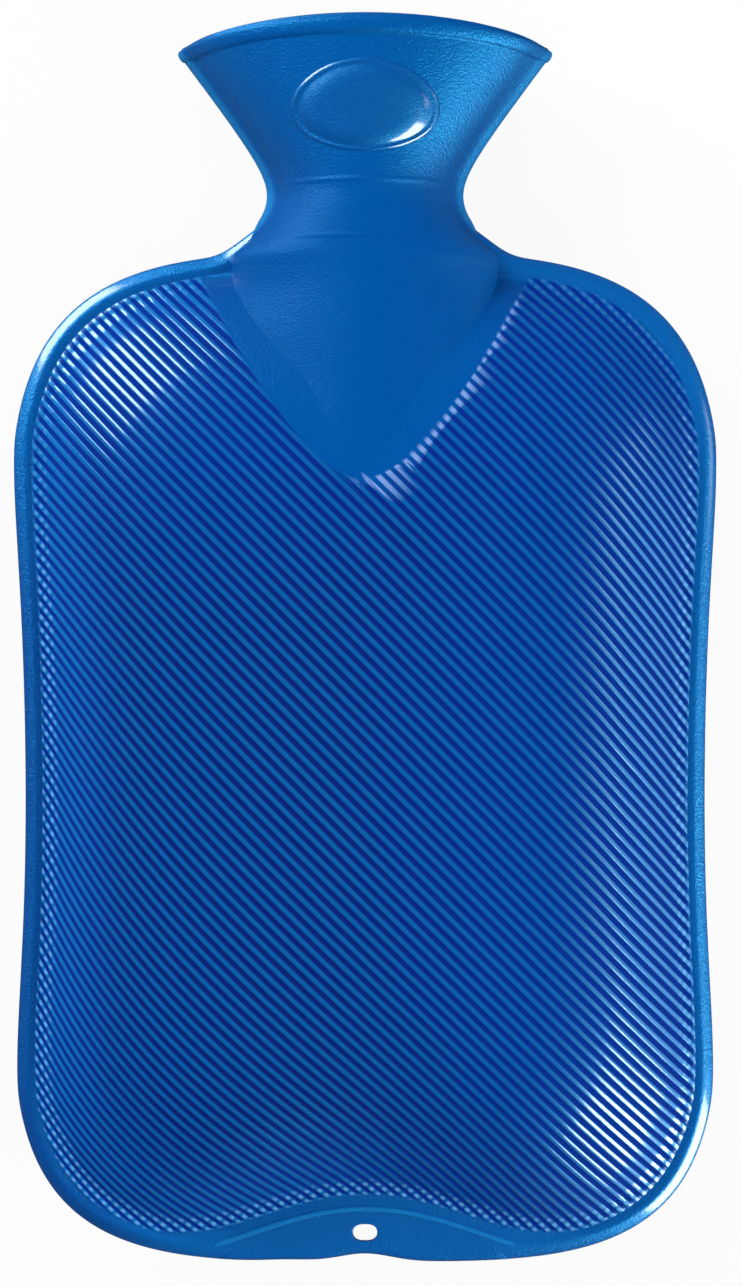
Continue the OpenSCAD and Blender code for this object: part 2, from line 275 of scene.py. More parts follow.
@dataclass(frozen=True)
class BottleForm:
    """Sizes of the moulded bottle and the rules that its surfaces follow, in millimetres."""

    # Body
    shoulder_width: float = 194.4
    waist_width: float = 185.2
    foot_width: float = 193.0
    body_length: float = 275.1
    body_thickness: float = 64.0
    edge_softness: float = 24.0
    dome_border: float = 6.2
    rib_border: float = 4.0
    # Seam flange
    flange_half: float = 1.4
    flange_round: float = 4.2
    bead_half: float = 2.05
    bead_round: float = 3.2
    bead_power: float = 1.3
    fillet: float = 1.6
    neck_flange: float = 2.9
    # Ribs
    rib_pitch: float = 2.69
    rib_height: float = 0.6
    crest_round: float = 0.08
    # Yoke, neck and funnel
    yoke_tip: float = 211.7
    yoke_width: float = 90.0
    yoke_power: float = 0.63
    crease_tip: float = 216.5
    crease_width: float = 77.0
    neck_radius: float = 23.9
    neck_height: float = 290.5
    funnel_width: float = 97.2
    funnel_depth: float = 56.0
    rim_height: float = 329.9
    rim_rise: float = 5.8
    funnel_wall: float = 2.0
    lip_height: float = 3.0
    lip_thickness: float = 0.8
    # Tab
    tab_rise: float = 13.8
    tab_width: float = 124.0
    notch_depth: float = 2.2
    notch_spread: float = 10.0
    # Laws of the curves
    upper_power: float = 3.6
    lower_power: float = 3.9
    flare_rate: float = 0.05
    funnel_slope: float = 0.77
    rim_power: float = 1.6
    left_crowding: float = 13.6
    right_crowding: float = 5.6
    foot_crowding: float = 0.34
    head_crowding: float = 0.12
    corner_share: float = 0.473
    waist_share: float = 0.456
    shoulder_share: float = 0.815
    foot_share: float = 0.165
    yoke_drop: float = 4.8
    widest_yoke: float = 78.0
    slimmest_yoke: float = 18.0
    lobe_height: float = 0.5
    lobe_place: float = -21.0
    lobe_spread: float = 9.0
    foot_end: float = 60.0
    crest_end: float = 0.28
    groove_start: float = 0.46
    layer_gap: float = 0.03
    tip_sink: float = 0.1
    depth_power: float = 1.2
    ridge: float = 0.3

    @property
    def corner_reach(self) -> float:
        """Length over which the outline rounds a corner."""
        return self.shoulder_width * self.corner_share

    @property
    def face_reach(self) -> float:
        """Distance from the edge of the dome to its middle."""
        return self.corner_reach - self.dome_border

    @property
    def face_height(self) -> float:
        """Height of the ribbed face's middle over the seam, half way up its ribs."""
        return (self.body_thickness - self.rib_height) / 2

    @property
    def yoke_top(self) -> float:
        """Height where the smooth yoke is widest."""
        return self.body_length - self.yoke_drop

    @property
    def diagonal(self) -> float:
        """Distance from rib to rib along X or Y, which the ribs cross at half a right angle."""
        return self.rib_pitch * math.sqrt(2.0)

    def side_reach(self, h: Array) -> Array:
        """Half the width of the body: the waist's plus a square law towards each end.

        Args:
            h: Heights over the bottom edge.

        Returns:
            The distances from the middle to the outline.
        """
        waist = self.body_length * self.waist_share
        up = np.clip((h - waist) / (self.body_length * self.shoulder_share - waist), 0.0, 1.0)
        down = np.clip((waist - h) / (waist - self.body_length * self.foot_share), 0.0, 1.0)
        gain_up = (self.shoulder_width - self.waist_width) * up**2
        gain_down = (self.foot_width - self.waist_width) * down**2
        return (self.waist_width + gain_up + gain_down) / 2

    def tab_arch(self, x: Array) -> Array:
        """Rise of the face's lower edge over the tab: a squared cosine across its width."""
        rise = self.tab_rise * np.cos(np.pi * x / self.tab_width) ** 2
        return np.where(np.abs(x) < self.tab_width / 2, rise, 0.0)

    def face_place(self, x: Array, h: Array, border: float) -> Array:
        """Place between the middle (0) and the edge (1) of a face set in by a border.

        The parts u across and v along are taken as (u^p + v^p)^(1/p), which rounds the
        corners as the outline does.

        Args:
            x: Places across.
            h: Heights over the bottom edge.
            border: Distance from the outline to the face's edge.

        Returns:
            The places; over 1 outside the face.
        """
        u = np.abs(x) / (self.side_reach(h) - border)
        reach = self.corner_reach - border
        top = (h - (self.body_length - self.corner_reach)) / reach
        low = (self.corner_reach + self.tab_arch(x) - h) / reach
        v = np.maximum(0.0, np.maximum(top, low))
        power = np.where(top > low, self.upper_power, self.lower_power)
        return (u**power + v**power) ** (1.0 / power)

    def level(self, x: Array, h: Array) -> Array:
        """Height of the face over the seam without its ribs.

        The dome is steep at its edge and level in the middle: with l = 1 - place and
        r = reach / softness it is the full height times 1 - exp(-rl) - rl exp(-r), scaled
        to 1 in the middle. It flows into the flange by the soft maximum of two heights,
        half of a + b + sqrt((a - b)² + k²).

        Args:
            x: Places across.
            h: Heights over the bottom edge.

        Returns:
            The levels over the seam.
        """
        rate = self.face_reach / self.edge_softness
        inside = 1.0 - self.face_place(x, h, self.dome_border)
        shape = 1.0 - np.exp(-rate * inside) - rate * inside * math.exp(-rate)
        dome = self.face_height * shape / (1.0 - math.exp(-rate) * (1.0 + rate))
        flat = self.flange_half + self.layer_gap
        return (dome + flat + np.sqrt((dome - flat) ** 2 + self.fillet**2)) / 2

    def yoke_edge(self, h: Array) -> Array:
        """Half the width of the rib-free V at height h."""
        t = np.clip((h - self.yoke_tip) / (self.yoke_top - self.yoke_tip), 0.0, None)
        return self.yoke_width / 2 * t**self.yoke_power

    def crease(self, h: Array) -> Array:
        """Half the width at which the neck meets the face, at height h."""
        t = np.clip((h - self.crease_tip) / (self.yoke_top - self.crease_tip), 0.0, None)
        return self.crease_width / 2 * t**self.yoke_power

    def neck_reach(self, h: Array) -> Array:
        """Half the width of the neck without its flange.

        Above the narrowest place it is a hyperbola that ends in the funnel's slope, and
        below it a parabola.

        Args:
            h: Heights over the bottom edge.

        Returns:
            The distances from the middle to the side.
        """
        gain = self.funnel_width / 2 - self.neck_radius
        run = self.funnel_slope * (self.rim_height - self.neck_height)
        bow = (run * run - gain * gain) / (2 * gain)
        rise = self.funnel_slope * np.maximum(h - self.neck_height, 0.0)
        above = np.sqrt(bow**2 + rise**2) - bow
        below = self.flare_rate * np.maximum(self.neck_height - h, 0.0) ** 2
        return self.neck_radius + above + below

    def neck_depth(self, h: Array) -> Array:
        """Half the depth of the neck, front to back.

        Above the narrowest place it grows with a power of the height, and below it straight
        to the level of the face at the crease's tip.

        Args:
            h: Heights over the bottom edge.

        Returns:
            The distances from the seam to the front.
        """
        up = np.clip((h - self.neck_height) / (self.rim_height - self.neck_height), 0.0, None)
        gain = self.funnel_depth / 2 - self.neck_radius
        down = np.clip((self.neck_height - h) / (self.neck_height - self.crease_tip), 0.0, None)
        tip = self.level(np.array(0.0), np.array(self.crease_tip)) - self.tip_sink
        return self.neck_radius + gain * up**self.depth_power + (tip - self.neck_radius) * down

    def neck_power(self, h: Array) -> Array:
        """Power of the neck's section: 2 is an oval, less has flatter flanks and a ridge.

        Args:
            h: Heights over the bottom edge.

        Returns:
            The powers, least on the yoke.
        """
        begun = smooth(h, self.crease_tip + 6.0, self.crease_tip + 24.0)
        ended = smooth(h, self.yoke_top - 6.0, self.neck_height - 4.0)
        return 2.0 - self.ridge * begun * (1.0 - ended)

    def yoke_reach(self, h: Array) -> Array:
        """Half the width of the yoke's section, so that it meets the face at the crease.

        A section of power p and depth d through a point at v across and z up is
        v / (1 - (z/d)^p)^(1/p) wide. Near the neck the flare of the neck takes over, by the
        soft minimum of the two.

        Args:
            h: Heights over the bottom edge.

        Returns:
            Half the widths of the sections.
        """
        v = self.crease(h)
        power = self.neck_power(h)
        ratio = np.minimum(self.level(v, h) / self.neck_depth(h), 0.99)
        wide = np.clip(v / (1.0 - ratio**power) ** (1.0 / power), self.slimmest_yoke,
                       self.widest_yoke)
        gain = self.crease_width / 2 - self.neck_radius
        fall = self.flare_rate * 1.2 * np.maximum(self.neck_height - h, 0.0) ** 2
        flare = self.neck_radius + 1.6 + gain * (1.0 - np.exp(-fall / gain))
        return (wide + flare - np.sqrt((wide - flare) ** 2 + 9.0)) / 2

    def rib_profile(self, turn: Array) -> Array:
        """Height of a rib at a share of a turn from its crest.

        The crest is a parabola over a little more than half the pitch, and a 3t² - 2t³ step
        takes it down into the groove. The height is counted from half way up.

        Args:
            turn: Rib counts; a crest lies at each whole number.

        Returns:
            The heights.
        """
        part = np.abs(turn - np.round(turn))
        groove = smooth(part, self.crest_end, self.groove_start)
        crest = self.crest_round * np.minimum(part / self.crest_end, 1.0) ** 2
        return self.rib_height / 2 - crest * (1.0 - groove) - self.rib_height * groove

    def rib_measure(self, x: Array, h: Array) -> Array:
        """Distance counted square to the ribs, times the square root of two.

        It is x + h, plus fifth powers of x and fourth powers of h that crowd the ribs
        where the face falls away across them. Where it falls away along them, at the
        upper left and the lower right, they keep their distance.

        Args:
            x: Places across.
            h: Heights over the bottom edge.

        Returns:
            The measure; a rib's crest lies at each whole number of diagonal pitches.
        """
        half = self.waist_width / 2 - self.dome_border
        middle, low, high = 150.0, 130.0, 120.0
        left = self.left_crowding * (0.18 + 0.82 * smooth(-h, -225.0, -110.0))
        right = self.right_crowding * smooth(h, 30.0, 170.0)
        across = np.where(x < 0, left, right) * (x / half) ** 5
        down = np.maximum(middle - h, 0.0) / low
        up = np.maximum(h - middle, 0.0) / high
        foot = self.foot_crowding * (1.0 - 0.7 * smooth(x, -10.0, 60.0))
        head = self.head_crowding * (0.5 + 0.5 * smooth(x, -80.0, 20.0))
        return x + h + across - foot * low / 4 * down**4 + head * high / 4 * up**4

    def foot_line(self, x: Array) -> Array:
        """Height of the bottom edge.

        It is the rounded corners' law plus two bell curves, the notch in the middle and a
        low lobe beside it.

        Args:
            x: Places across.

        Returns:
            The heights of the edge.
        """
        side = self.foot_width / 2
        u = np.clip(np.abs(x) / side, 0.0, 1.0)
        corner = self.corner_reach * (1.0 - (1.0 - u**self.lower_power) ** (1 / self.lower_power))
        lobe = self.lobe_height * np.exp(-(((x - self.lobe_place) / self.lobe_spread) ** 2))
        return corner + lobe + self.notch_depth * np.exp(-((x / self.notch_spread) ** 2))

    def outline(self, steps: int) -> Array:
        """Right half of the body's outline, from the foot to the shoulder line.

        Args:
            steps: Number of points for each corner.

        Returns:
            Points as rows of x and h.
        """
        a = np.linspace(0.0, np.pi / 2, steps)
        low_h = self.corner_reach * (1.0 - np.cos(a) ** (2 / self.lower_power))
        low_x = self.side_reach(low_h) * np.sin(a) ** (2 / self.lower_power)
        low_h = np.where(low_x < self.foot_end, self.foot_line(low_x), low_h)
        side_h = np.linspace(self.corner_reach, self.body_length - self.corner_reach, steps)
        up_h = self.body_length - self.corner_reach * (1.0 - np.sin(a) ** (2 / self.upper_power))
        up_x = self.side_reach(up_h) * np.cos(a) ** (2 / self.upper_power)
        x = np.concatenate([low_x, self.side_reach(side_h)[1:-1], up_x])
        h = np.concatenate([low_h, side_h[1:-1], up_h])
        return np.stack([x, h], axis=1)


# Finishes


class NodeMaker:
    """Adds and joins shader nodes in one node tree."""

    def __init__(self, tree: bpy.types.NodeTree) -> None:
        """Keeps the tree that the nodes go into."""
        self.tree = tree

    def add(self, kind: str, **values: object) -> bpy.types.Node:
        """Adds a node; a key that is no setting of the node names an input.

        Args:
            kind: Type name of the node.
            **values: Settings and inputs; an output socket is joined to the input.

        Returns:
            The new node.
        """
        node = self.tree.nodes.new(kind)
        for key, value in values.items():
            if hasattr(node, key):
                setattr(node, key, value)
            else:
                self.feed(node, key.replace("_", " "), value)
        return node

    def feed(self, node: bpy.types.Node, name: str | int, value: object) -> None:
        """Sets an input to a value or joins an output to it.

        Args:
            node: The node with the input.
            name: Name or number of the input.
            value: A value, a colour of three parts, or the output to join.
        """
        socket = node.inputs[name]
        if isinstance(value, bpy.types.NodeSocket):
            self.tree.links.new(value, socket)
        elif isinstance(value, tuple) and len(value) == 3 and socket.type == "RGBA":
            socket.default_value = (*value, 1.0)
        else:
            socket.default_value = value

    def math(self, operation: str, first: object, second: object = 0.0) -> bpy.types.NodeSocket:
        """Adds a node that works out one sum.

        Args:
            operation: Blender's name of the sum.
            first: First value or output.
            second: Second value or output.

        Returns:
            The output with the result.
        """
        node = self.tree.nodes.new("ShaderNodeMath")
        node.operation = operation
        self.feed(node, 0, first)
        self.feed(node, 1, second)
        return node.outputs[0]

    def product(self, *factors: object) -> bpy.types.NodeSocket:
        """Multiplies several values or outputs, from the first to the last."""
        return functools.reduce(functools.partial(self.math, "MULTIPLY"), factors)

    def ramp(self, value: object, span: Span,
             ends: tuple[object, object] = (0.0, 1.0)) -> bpy.types.NodeSocket:
        """Maps a value smoothly from one span to another, level outside it.

        Args:
            value: Value or output to map.
            span: Values where the change begins and is full.
            ends: Results at those two values; each is a value or an output.

        Returns:
            The output with the result.
        """
        node = self.tree.nodes.new("ShaderNodeMapRange")
        node.interpolation_type = "SMOOTHSTEP"
        for name, v in (("Value", value), ("From Min", span[0]), ("From Max", span[1]),
                        ("To Min", ends[0]), ("To Max", ends[1])):
            self.feed(node, name, v)
        return node.outputs["Result"]

    def mix(self, share: object, first: object, second: object) -> bpy.types.NodeSocket:
        """Mixes two colours.

        Args:
            share: Share of the second colour.
            first: First colour.
            second: Second colour.

        Returns:
            The output with the mixed colour.
        """
        node = self.tree.nodes.new("ShaderNodeMix")
        node.data_type = "RGBA"
        for index, v in ((0, share), (6, first), (7, second)):
            self.feed(node, index, v)
        return node.outputs[2]


def open_group(name: str, inputs: dict[str, float], outputs: dict[str, str]
               ) -> tuple[NodeMaker, bpy.types.Node, bpy.types.Node]:
    """Makes an empty shader group.

    Args:
        name: Name of the group.
        inputs: Number inputs with their values.
        outputs: Outputs with their socket types.

    Returns:
        A maker for the group's tree, its input node and its output node.
    """
    tree = bpy.data.node_groups.new(name, "ShaderNodeTree")
    for key, value in inputs.items():
        socket = tree.interface.new_socket(key, in_out="INPUT", socket_type="NodeSocketFloat")
        socket.default_value = value
    for key, kind in outputs.items():
        tree.interface.new_socket(key, in_out="OUTPUT", socket_type=kind)
    return NodeMaker(tree), tree.nodes.new("NodeGroupInput"), tree.nodes.new("NodeGroupOutput")


class MouldedSurface:
    """Shader group for moulded plastic and rubber: fine grain, flow marks and speckles."""

    name = "moulded_surface"
    speckle_span: Span = (0.42, 0.66)
    flow_scale = 28.0

    def __init__(self) -> None:
        """Builds the group once, for all finishes."""
        maker, given, out = open_group(
            self.name,
            {"Grain Size": 0.6, "Grain Height": 0.3, "Roughness": 0.3, "Variation": 0.1},
            {"Height": "NodeSocketFloat", "Roughness": "NodeSocketFloat",
             "Speckle": "NodeSocketFloat"},
        )
        place = maker.add("ShaderNodeTexCoord").outputs["Object"]
        per_metre = maker.math("DIVIDE", 1000.0, given.outputs["Grain Size"])
        grain = maker.add("ShaderNodeTexNoise", Vector=place, Scale=per_metre, Detail=2.0,
                          Roughness=0.6)
        flow = maker.add("ShaderNodeTexNoise", Vector=place, Scale=self.flow_scale,
                         Detail=3.0, Roughness=0.55)
        centred = maker.math("SUBTRACT", grain.outputs["Fac"], 0.5)
        height = maker.math("MULTIPLY", centred, given.outputs["Grain Height"])
        swing = maker.math("SUBTRACT", flow.outputs["Fac"], 0.5)
        change = maker.math("MULTIPLY", swing, given.outputs["Variation"])
        rough = maker.math("ADD", given.outputs["Roughness"], change)
        maker.feed(out, "Height", height)
        maker.feed(out, "Roughness", rough)
        maker.feed(out, "Speckle", maker.ramp(grain.outputs["Fac"], self.speckle_span))
        self.tree = maker.tree

    def place_in(self, maker: NodeMaker, size: float, height: float, rough: float,
                 variation: float) -> bpy.types.Node:
        """Puts the group into a material with its own values.

        Args:
            maker: Maker for the material's tree.
            size: Width of a grain in millimetres.
            height: Height of the grain.
            rough: Middle roughness.
            variation: Swing of the roughness over the surface.

        Returns:
            The group's node.
        """
        node = maker.tree.nodes.new("ShaderNodeGroup")
        node.node_tree = self.tree
        for key, value in (("Grain Size", size), ("Grain Height", height),
                           ("Roughness", rough), ("Variation", variation)):
            node.inputs[key].default_value = value
        return node


def new_material(name: str) -> tuple[bpy.types.Material, NodeMaker, bpy.types.Node]:
    """Makes a material.

    Args:
        name: Name of the material.

    Returns:
        The material, a maker for its nodes and its Principled shader.
    """
    material = bpy.data.materials.new(name)
    material.use_nodes = True
    shader = material.node_tree.nodes["Principled BSDF"]
    return material, NodeMaker(material.node_tree), shader


@dataclass(frozen=True)
class SkinPlace:
    """Outputs of shader nodes that tell where a point of the bottle lies.

    wave and cross are the cosines of the two rib counts, 1 on a crest and -1 in a groove.
    edge is the distance to the face's edge in millimetres or a mark, and mask is 1 on the
    ribs. x and y are places in metres, and upward grows to 1 up the bottle.
    """

    wave: bpy.types.NodeSocket
    cross: bpy.types.NodeSocket
    edge: bpy.types.NodeSocket
    mask: bpy.types.NodeSocket
    x: bpy.types.NodeSocket
    y: bpy.types.NodeSocket
    upward: bpy.types.NodeSocket


@dataclass(frozen=True)
class RibbedBlue:
    """Soft glossy blue plastic: plain on the smooth parts, painted shade between the ribs.

    A span named after wave, cross, edge, x or y is counted as that output of SkinPlace is.
    """

    plain: Colour = from_screen(0, 81, 161)
    flange: Colour = from_screen(0, 96, 182)
    # Painted shade: the flange darker at the lower left.
    flange_shade_left: Colour = from_screen(4, 68, 154)
    crest: Colour = from_screen(8, 91, 169)
    # Painted shade in the grooves: deeper to the left and low, lighter to the right.
    groove_shade_left: Colour = from_screen(12, 36, 117)
    groove_shade_right: Colour = from_screen(7, 47, 144)
    # Painted highlight on the crests near the left edge.
    margin_highlight: Colour = from_screen(6, 122, 204)
    # Painted highlight dots near the face's edge.
    dot: Colour = from_screen(112, 184, 248)
    # Painted highlight on the neck's seam fin and flanks and on the arched beads.
    seam: Colour = from_screen(36, 152, 224)
    # Painted highlight on the rib ends by the smooth V.
    rib_end_highlight: Colour = from_screen(150, 184, 250)
    # Painted highlight on the crests at the lower right.
    right_highlight: Colour = from_screen(92, 160, 236)
    shine: Colour = (0.0, 0.55, 1.0)
    roughness: float = 0.38
    rib_roughness: float = 0.28
    groove_roughness: float = 0.7
    specular: float = 0.4
    flange_specular: float = 1.0
    funnel_specular: float = 0.8
    groove_specular: float = 0.03
    smooth_specular: float = 0.13
    coat: float = 0.85
    coat_roughness: float = 0.14
    grain_size: float = 0.6
    grain_height: float = 1.0
    variation: float = 0.08
    bump_strength: float = 0.65
    bump_distance: float = 0.0004
    # Spans where the painted shade and the painted highlights lie.
    upward_y: Span = (0.0, 0.07)
    upward_share: float = 0.8
    groove_wave: Span = (0.6, -0.3)
    rightward_x: Span = (-0.02, 0.065)
    lit_edge: Span = (30.0, 8.0)
    dim_x: Span = (-0.05, -0.075)
    flange_edge: Span = (3.0, 0.5)
    flange_share: Span = (0.0, 0.7)
    left_line_edge: Span = (22.0, 3.0)
    left_line_x: Span = (0.02, -0.05)
    left_line_share: Span = (0.15, 0.6)
    left_line_wave: Span = (-0.5, 0.6)
    right_line_edge: Span = (42.0, 8.0)
    right_line_x: Span = (0.03, 0.085)
    right_line_y: Span = (0.075, 0.03)
    right_line_wave: Span = (0.1, 0.9)
    right_line_share: Span = (0.0, 0.75)
    dot_wave: Span = (-0.3, 0.7)
    dot_cross: Span = (-1.0, 0.9)
    dot_edge: Span = (6.0, 3.5)
    dot_share: float = 0.75
    end_wave: Span = (-0.4, 0.4)
    end_edge: Span = (5.0, 9.0)
    end_x: Span = (-0.006, 0.004)
    end_share: float = 0.65
    seam_highlight_share: float = 0.5
    polished_edge: Span = (8.0, 3.0)
    flank_wave: Span = (0.75, 0.3)
    funnel_y: Span = (0.115, 0.14)
    dull_groove: Span = (0.0, 0.8)

    def read_place(self, maker: NodeMaker) -> SkinPlace:
        """Reads the ribs' place from the mesh, and the point's place in the frame.

        The first number of the attribute counts ribs across this face, the second counts
        the ribs of the other face that cross them, and the third is the distance to the
        face's edge. A count makes one full turn of its cosine from crest to crest.

        Args:
            maker: Maker for the material's tree.

        Returns:
            The outputs that tell the place.
        """
        read = maker.add("ShaderNodeAttribute", attribute_name="rib_place")
        parts = maker.add("ShaderNodeSeparateXYZ", Vector=read.outputs["Vector"]).outputs
        mask = maker.add("ShaderNodeAttribute", attribute_name="rib_mask").outputs["Fac"]
        turn = 2.0 * math.pi
        wave = maker.math("COSINE", maker.math("MULTIPLY", parts["X"], turn))
        cross = maker.math("COSINE", maker.math("MULTIPLY", parts["Y"], turn))
        place = maker.add("ShaderNodeTexCoord").outputs["Object"]
        spot = maker.add("ShaderNodeSeparateXYZ", Vector=place).outputs
        upward = maker.ramp(spot["Y"], self.upward_y)
        return SkinPlace(wave, cross, parts["Z"], mask, spot["X"], spot["Y"], upward)

    def moulded_colour(self, maker: NodeMaker, at: SkinPlace,
                       groove: bpy.types.NodeSocket) -> bpy.types.NodeSocket:
        """Blue of the plastic: smooth parts and flange, crests, and painted shade in the grooves.

        The painted groove shade is lighter to the right, up the bottle and near the face's edge,
        where more light falls, and painted shade makes the flange darker at the lower left.

        Args:
            maker: Maker for the material's tree.
            at: The point's place.
            groove: 1 in a groove, 0 on a crest and off the ribs.

        Returns:
            The output with the colour.
        """
        # Painted groove shade, lifted where more light falls: right, up the bottle, near the edge.
        lit = maker.math("MAXIMUM", maker.ramp(at.x, self.rightward_x),
                         maker.math("MULTIPLY", at.upward, self.upward_share))
        lit = maker.math("MAXIMUM", lit, maker.ramp(at.edge, self.lit_edge))
        dark = maker.mix(lit, self.groove_shade_left, self.groove_shade_right)
        ribbed = maker.mix(groove, self.crest, dark)
        # Painted shade on the flange, towards the left and low on the bottle.
        dim = maker.math("MULTIPLY", maker.ramp(at.x, self.dim_x),
                         maker.math("SUBTRACT", 1.0, at.upward))
        flange = maker.mix(dim, self.flange, self.flange_shade_left)
        on_flange = maker.ramp(at.edge, self.flange_edge, self.flange_share)
        return maker.mix(at.mask, maker.mix(on_flange, self.plain, flange), ribbed)

    def crest_highlights(self, maker: NodeMaker, at: SkinPlace,
                    colour: bpy.types.NodeSocket) -> bpy.types.NodeSocket:
        """Paints highlights on the crests near the face's edge, and again at the lower right.

        Each share is the product of ramps over the place and the wave, and of the mask.

        Args:
            maker: Maker for the material's tree.
            at: The point's place.
            colour: The colour so far.

        Returns:
            The output with the new colour.
        """
        left = maker.product(
            maker.ramp(at.edge, self.left_line_edge), at.mask,
            maker.ramp(at.x, self.left_line_x, self.left_line_share),
            maker.ramp(at.wave, self.left_line_wave),
        )
        right = maker.product(
            maker.ramp(at.edge, self.right_line_edge), at.mask,
            maker.ramp(at.x, self.right_line_x), maker.ramp(at.y, self.right_line_y),
            maker.ramp(at.wave, self.right_line_wave, self.right_line_share),
        )
        return maker.mix(right, maker.mix(left, colour, self.margin_highlight), self.right_highlight)

    def edge_highlight_dots(self, maker: NodeMaker, at: SkinPlace,
                  colour: bpy.types.NodeSocket) -> bpy.types.NodeSocket:
        """Paints a highlight dot where each crest runs down to the edge, weaker up the bottle.

        Args:
            maker: Maker for the material's tree.
            at: The point's place.
            colour: The colour so far.

        Returns:
            The output with the new colour.
        """
        weaker = maker.math("MULTIPLY", at.upward, self.upward_share)
        share = maker.product(
            maker.ramp(at.wave, self.dot_wave), maker.ramp(at.cross, self.dot_cross),
            maker.ramp(at.edge, self.dot_edge), at.mask,
            maker.math("SUBTRACT", 1.0, weaker), self.dot_share,
        )
        return maker.mix(share, colour, self.dot)

    def rib_end_highlights(self, maker: NodeMaker, at: SkinPlace,
                 colour: bpy.types.NodeSocket) -> bpy.types.NodeSocket:
        """Paints a highlight on the ends of the ribs at the right edge of the smooth V.

        The mask times what it lacks to 1, times four, is 1 half way down a rib's end.

        Args:
            maker: Maker for the material's tree.
            at: The point's place.
            colour: The colour so far.

        Returns:
            The output with the new colour.
        """
        share = maker.product(
            at.mask, maker.math("SUBTRACT", 1.0, at.mask), 4.0,
            maker.ramp(at.wave, self.end_wave), maker.ramp(at.edge, self.end_edge),
            maker.ramp(at.x, self.end_x), self.end_share,
        )
        return maker.mix(share, colour, self.rib_end_highlight)

    def gloss(self, maker: NodeMaker, at: SkinPlace, groove: bpy.types.NodeSocket,
              shader: bpy.types.Node) -> None:
        """Sets the shine: a coat on the crests and the flange, least light in the grooves.

        Args:
            maker: Maker for the material's tree.
            at: The point's place.
            groove: 1 in a groove, 0 on a crest and off the ribs.
            shader: The Principled shader.
        """
        polished = maker.math("MAXIMUM", at.mask, maker.ramp(at.edge, self.polished_edge))
        flank = maker.math("MULTIPLY", maker.ramp(at.wave, self.flank_wave), at.mask)
        open_part = maker.math("SUBTRACT", polished, flank)
        maker.feed(shader, "Coat Weight", maker.math("MULTIPLY", open_part, self.coat))
        on_funnel = maker.ramp(at.y, self.funnel_y, (self.smooth_specular, self.funnel_specular))
        on_smooth = maker.ramp(at.edge, self.flange_edge, (on_funnel, self.flange_specular))
        on_ribs = maker.ramp(groove, self.dull_groove, (self.specular, self.groove_specular))
        level = maker.add("ShaderNodeMix")
        for index, value in ((0, at.mask), (2, on_smooth), (3, on_ribs)):
            maker.feed(level, index, value)
        maker.feed(shader, "Specular IOR Level", level.outputs[0])
        shader.inputs["Coat Roughness"].default_value = self.coat_roughness
        shader.inputs["Specular Tint"].default_value = (*self.shine, 1.0)

    def build(self, surface: MouldedSurface) -> bpy.types.Material:
        """Builds the material.

        Args:
            surface: The shared group for moulded surfaces.

        Returns:
            The material.
        """
        material, maker, shader = new_material("bottle_blue")
        at = self.read_place(maker)
        # The groove mask carries the painted groove shade and the grooves' duller gloss.
        groove = maker.math("MULTIPLY", maker.ramp(at.wave, self.groove_wave), at.mask)
        colour = self.moulded_colour(maker, at, groove)
        for lay in (self.crest_highlights, self.edge_highlight_dots, self.rib_end_highlights):
            colour = lay(maker, at, colour)
        # Painted highlight on the neck's seam fin and flanks and on the beads, from their marks.
        light = maker.ramp(at.edge, (NECK_MARK, SEAM_HIGHLIGHT_MARK))
        colour = maker.mix(maker.math("MULTIPLY", light, self.seam_highlight_share), colour, self.seam)
        maker.feed(shader, "Base Color", colour)
        grain = surface.place_in(maker, self.grain_size, self.grain_height, self.roughness,
                                 self.variation)
        off_ribs = maker.math("SUBTRACT", 1.0, at.mask)
        bump = maker.add("ShaderNodeBump", Strength=self.bump_strength,
                         Distance=self.bump_distance,
                         Height=maker.math("MULTIPLY", grain.outputs["Height"], off_ribs))
        maker.feed(shader, "Normal", bump.outputs["Normal"])
        on_rib = maker.ramp(groove, (0.0, 1.0), (self.rib_roughness, self.groove_roughness))
        change = maker.math("MULTIPLY", maker.math("SUBTRACT", on_rib, self.roughness), at.mask)
        rough = maker.math("ADD", grain.outputs["Roughness"], change)
        maker.feed(shader, "Roughness", rough)
        self.gloss(maker, at, groove, shader)
        return material


@dataclass(frozen=True)
class PlainFinish:
    """A finish of one colour with grain and a little variation."""

    name: str
    colour: Colour
    deep_colour: Colour
    roughness: float
    specular: float
    grain_size: float = 0.5
    grain_height: float = 0.4
    variation: float = 0.1
    speckle_share: float = 0.35
    bump_strength: float = 0.3
    bump_distance: float = 0.0003

    def build(self, surface: MouldedSurface) -> bpy.types.Material:
        """Builds the material with speckles of the deep colour.

        Args:
            surface: The shared group for moulded surfaces.

        Returns:
            The material.
        """
        material, maker, shader = new_material(self.name)
        grain = surface.place_in(maker, self.grain_size, self.grain_height, self.roughness,
                                 self.variation)
        share = maker.math("MULTIPLY", grain.outputs["Speckle"], self.speckle_share)
        bump = maker.add("ShaderNodeBump", Strength=self.bump_strength,
                         Distance=self.bump_distance, Height=grain.outputs["Height"])
        maker.feed(shader, "Base Color", maker.mix(share, self.colour, self.deep_colour))
        maker.feed(shader, "Roughness", grain.outputs["Roughness"])
        maker.feed(shader, "Normal", bump.outputs["Normal"])
        shader.inputs["Specular IOR Level"].default_value = self.specular
        return material


INSERT_BLUE = PlainFinish("insert_blue", from_screen(0, 58, 128), from_screen(0, 48, 112),
                          roughness=0.35, specular=0.35)
STOPPER_BLUE = PlainFinish("stopper_blue", from_screen(2, 74, 152), from_screen(0, 64, 138),
                           roughness=0.32, specular=0.4)
WASHER_GREY = PlainFinish("washer_grey", from_screen(190, 190, 185), from_screen(172, 172, 168),
                          roughness=0.6, specular=0.3)


# The moulded bottle


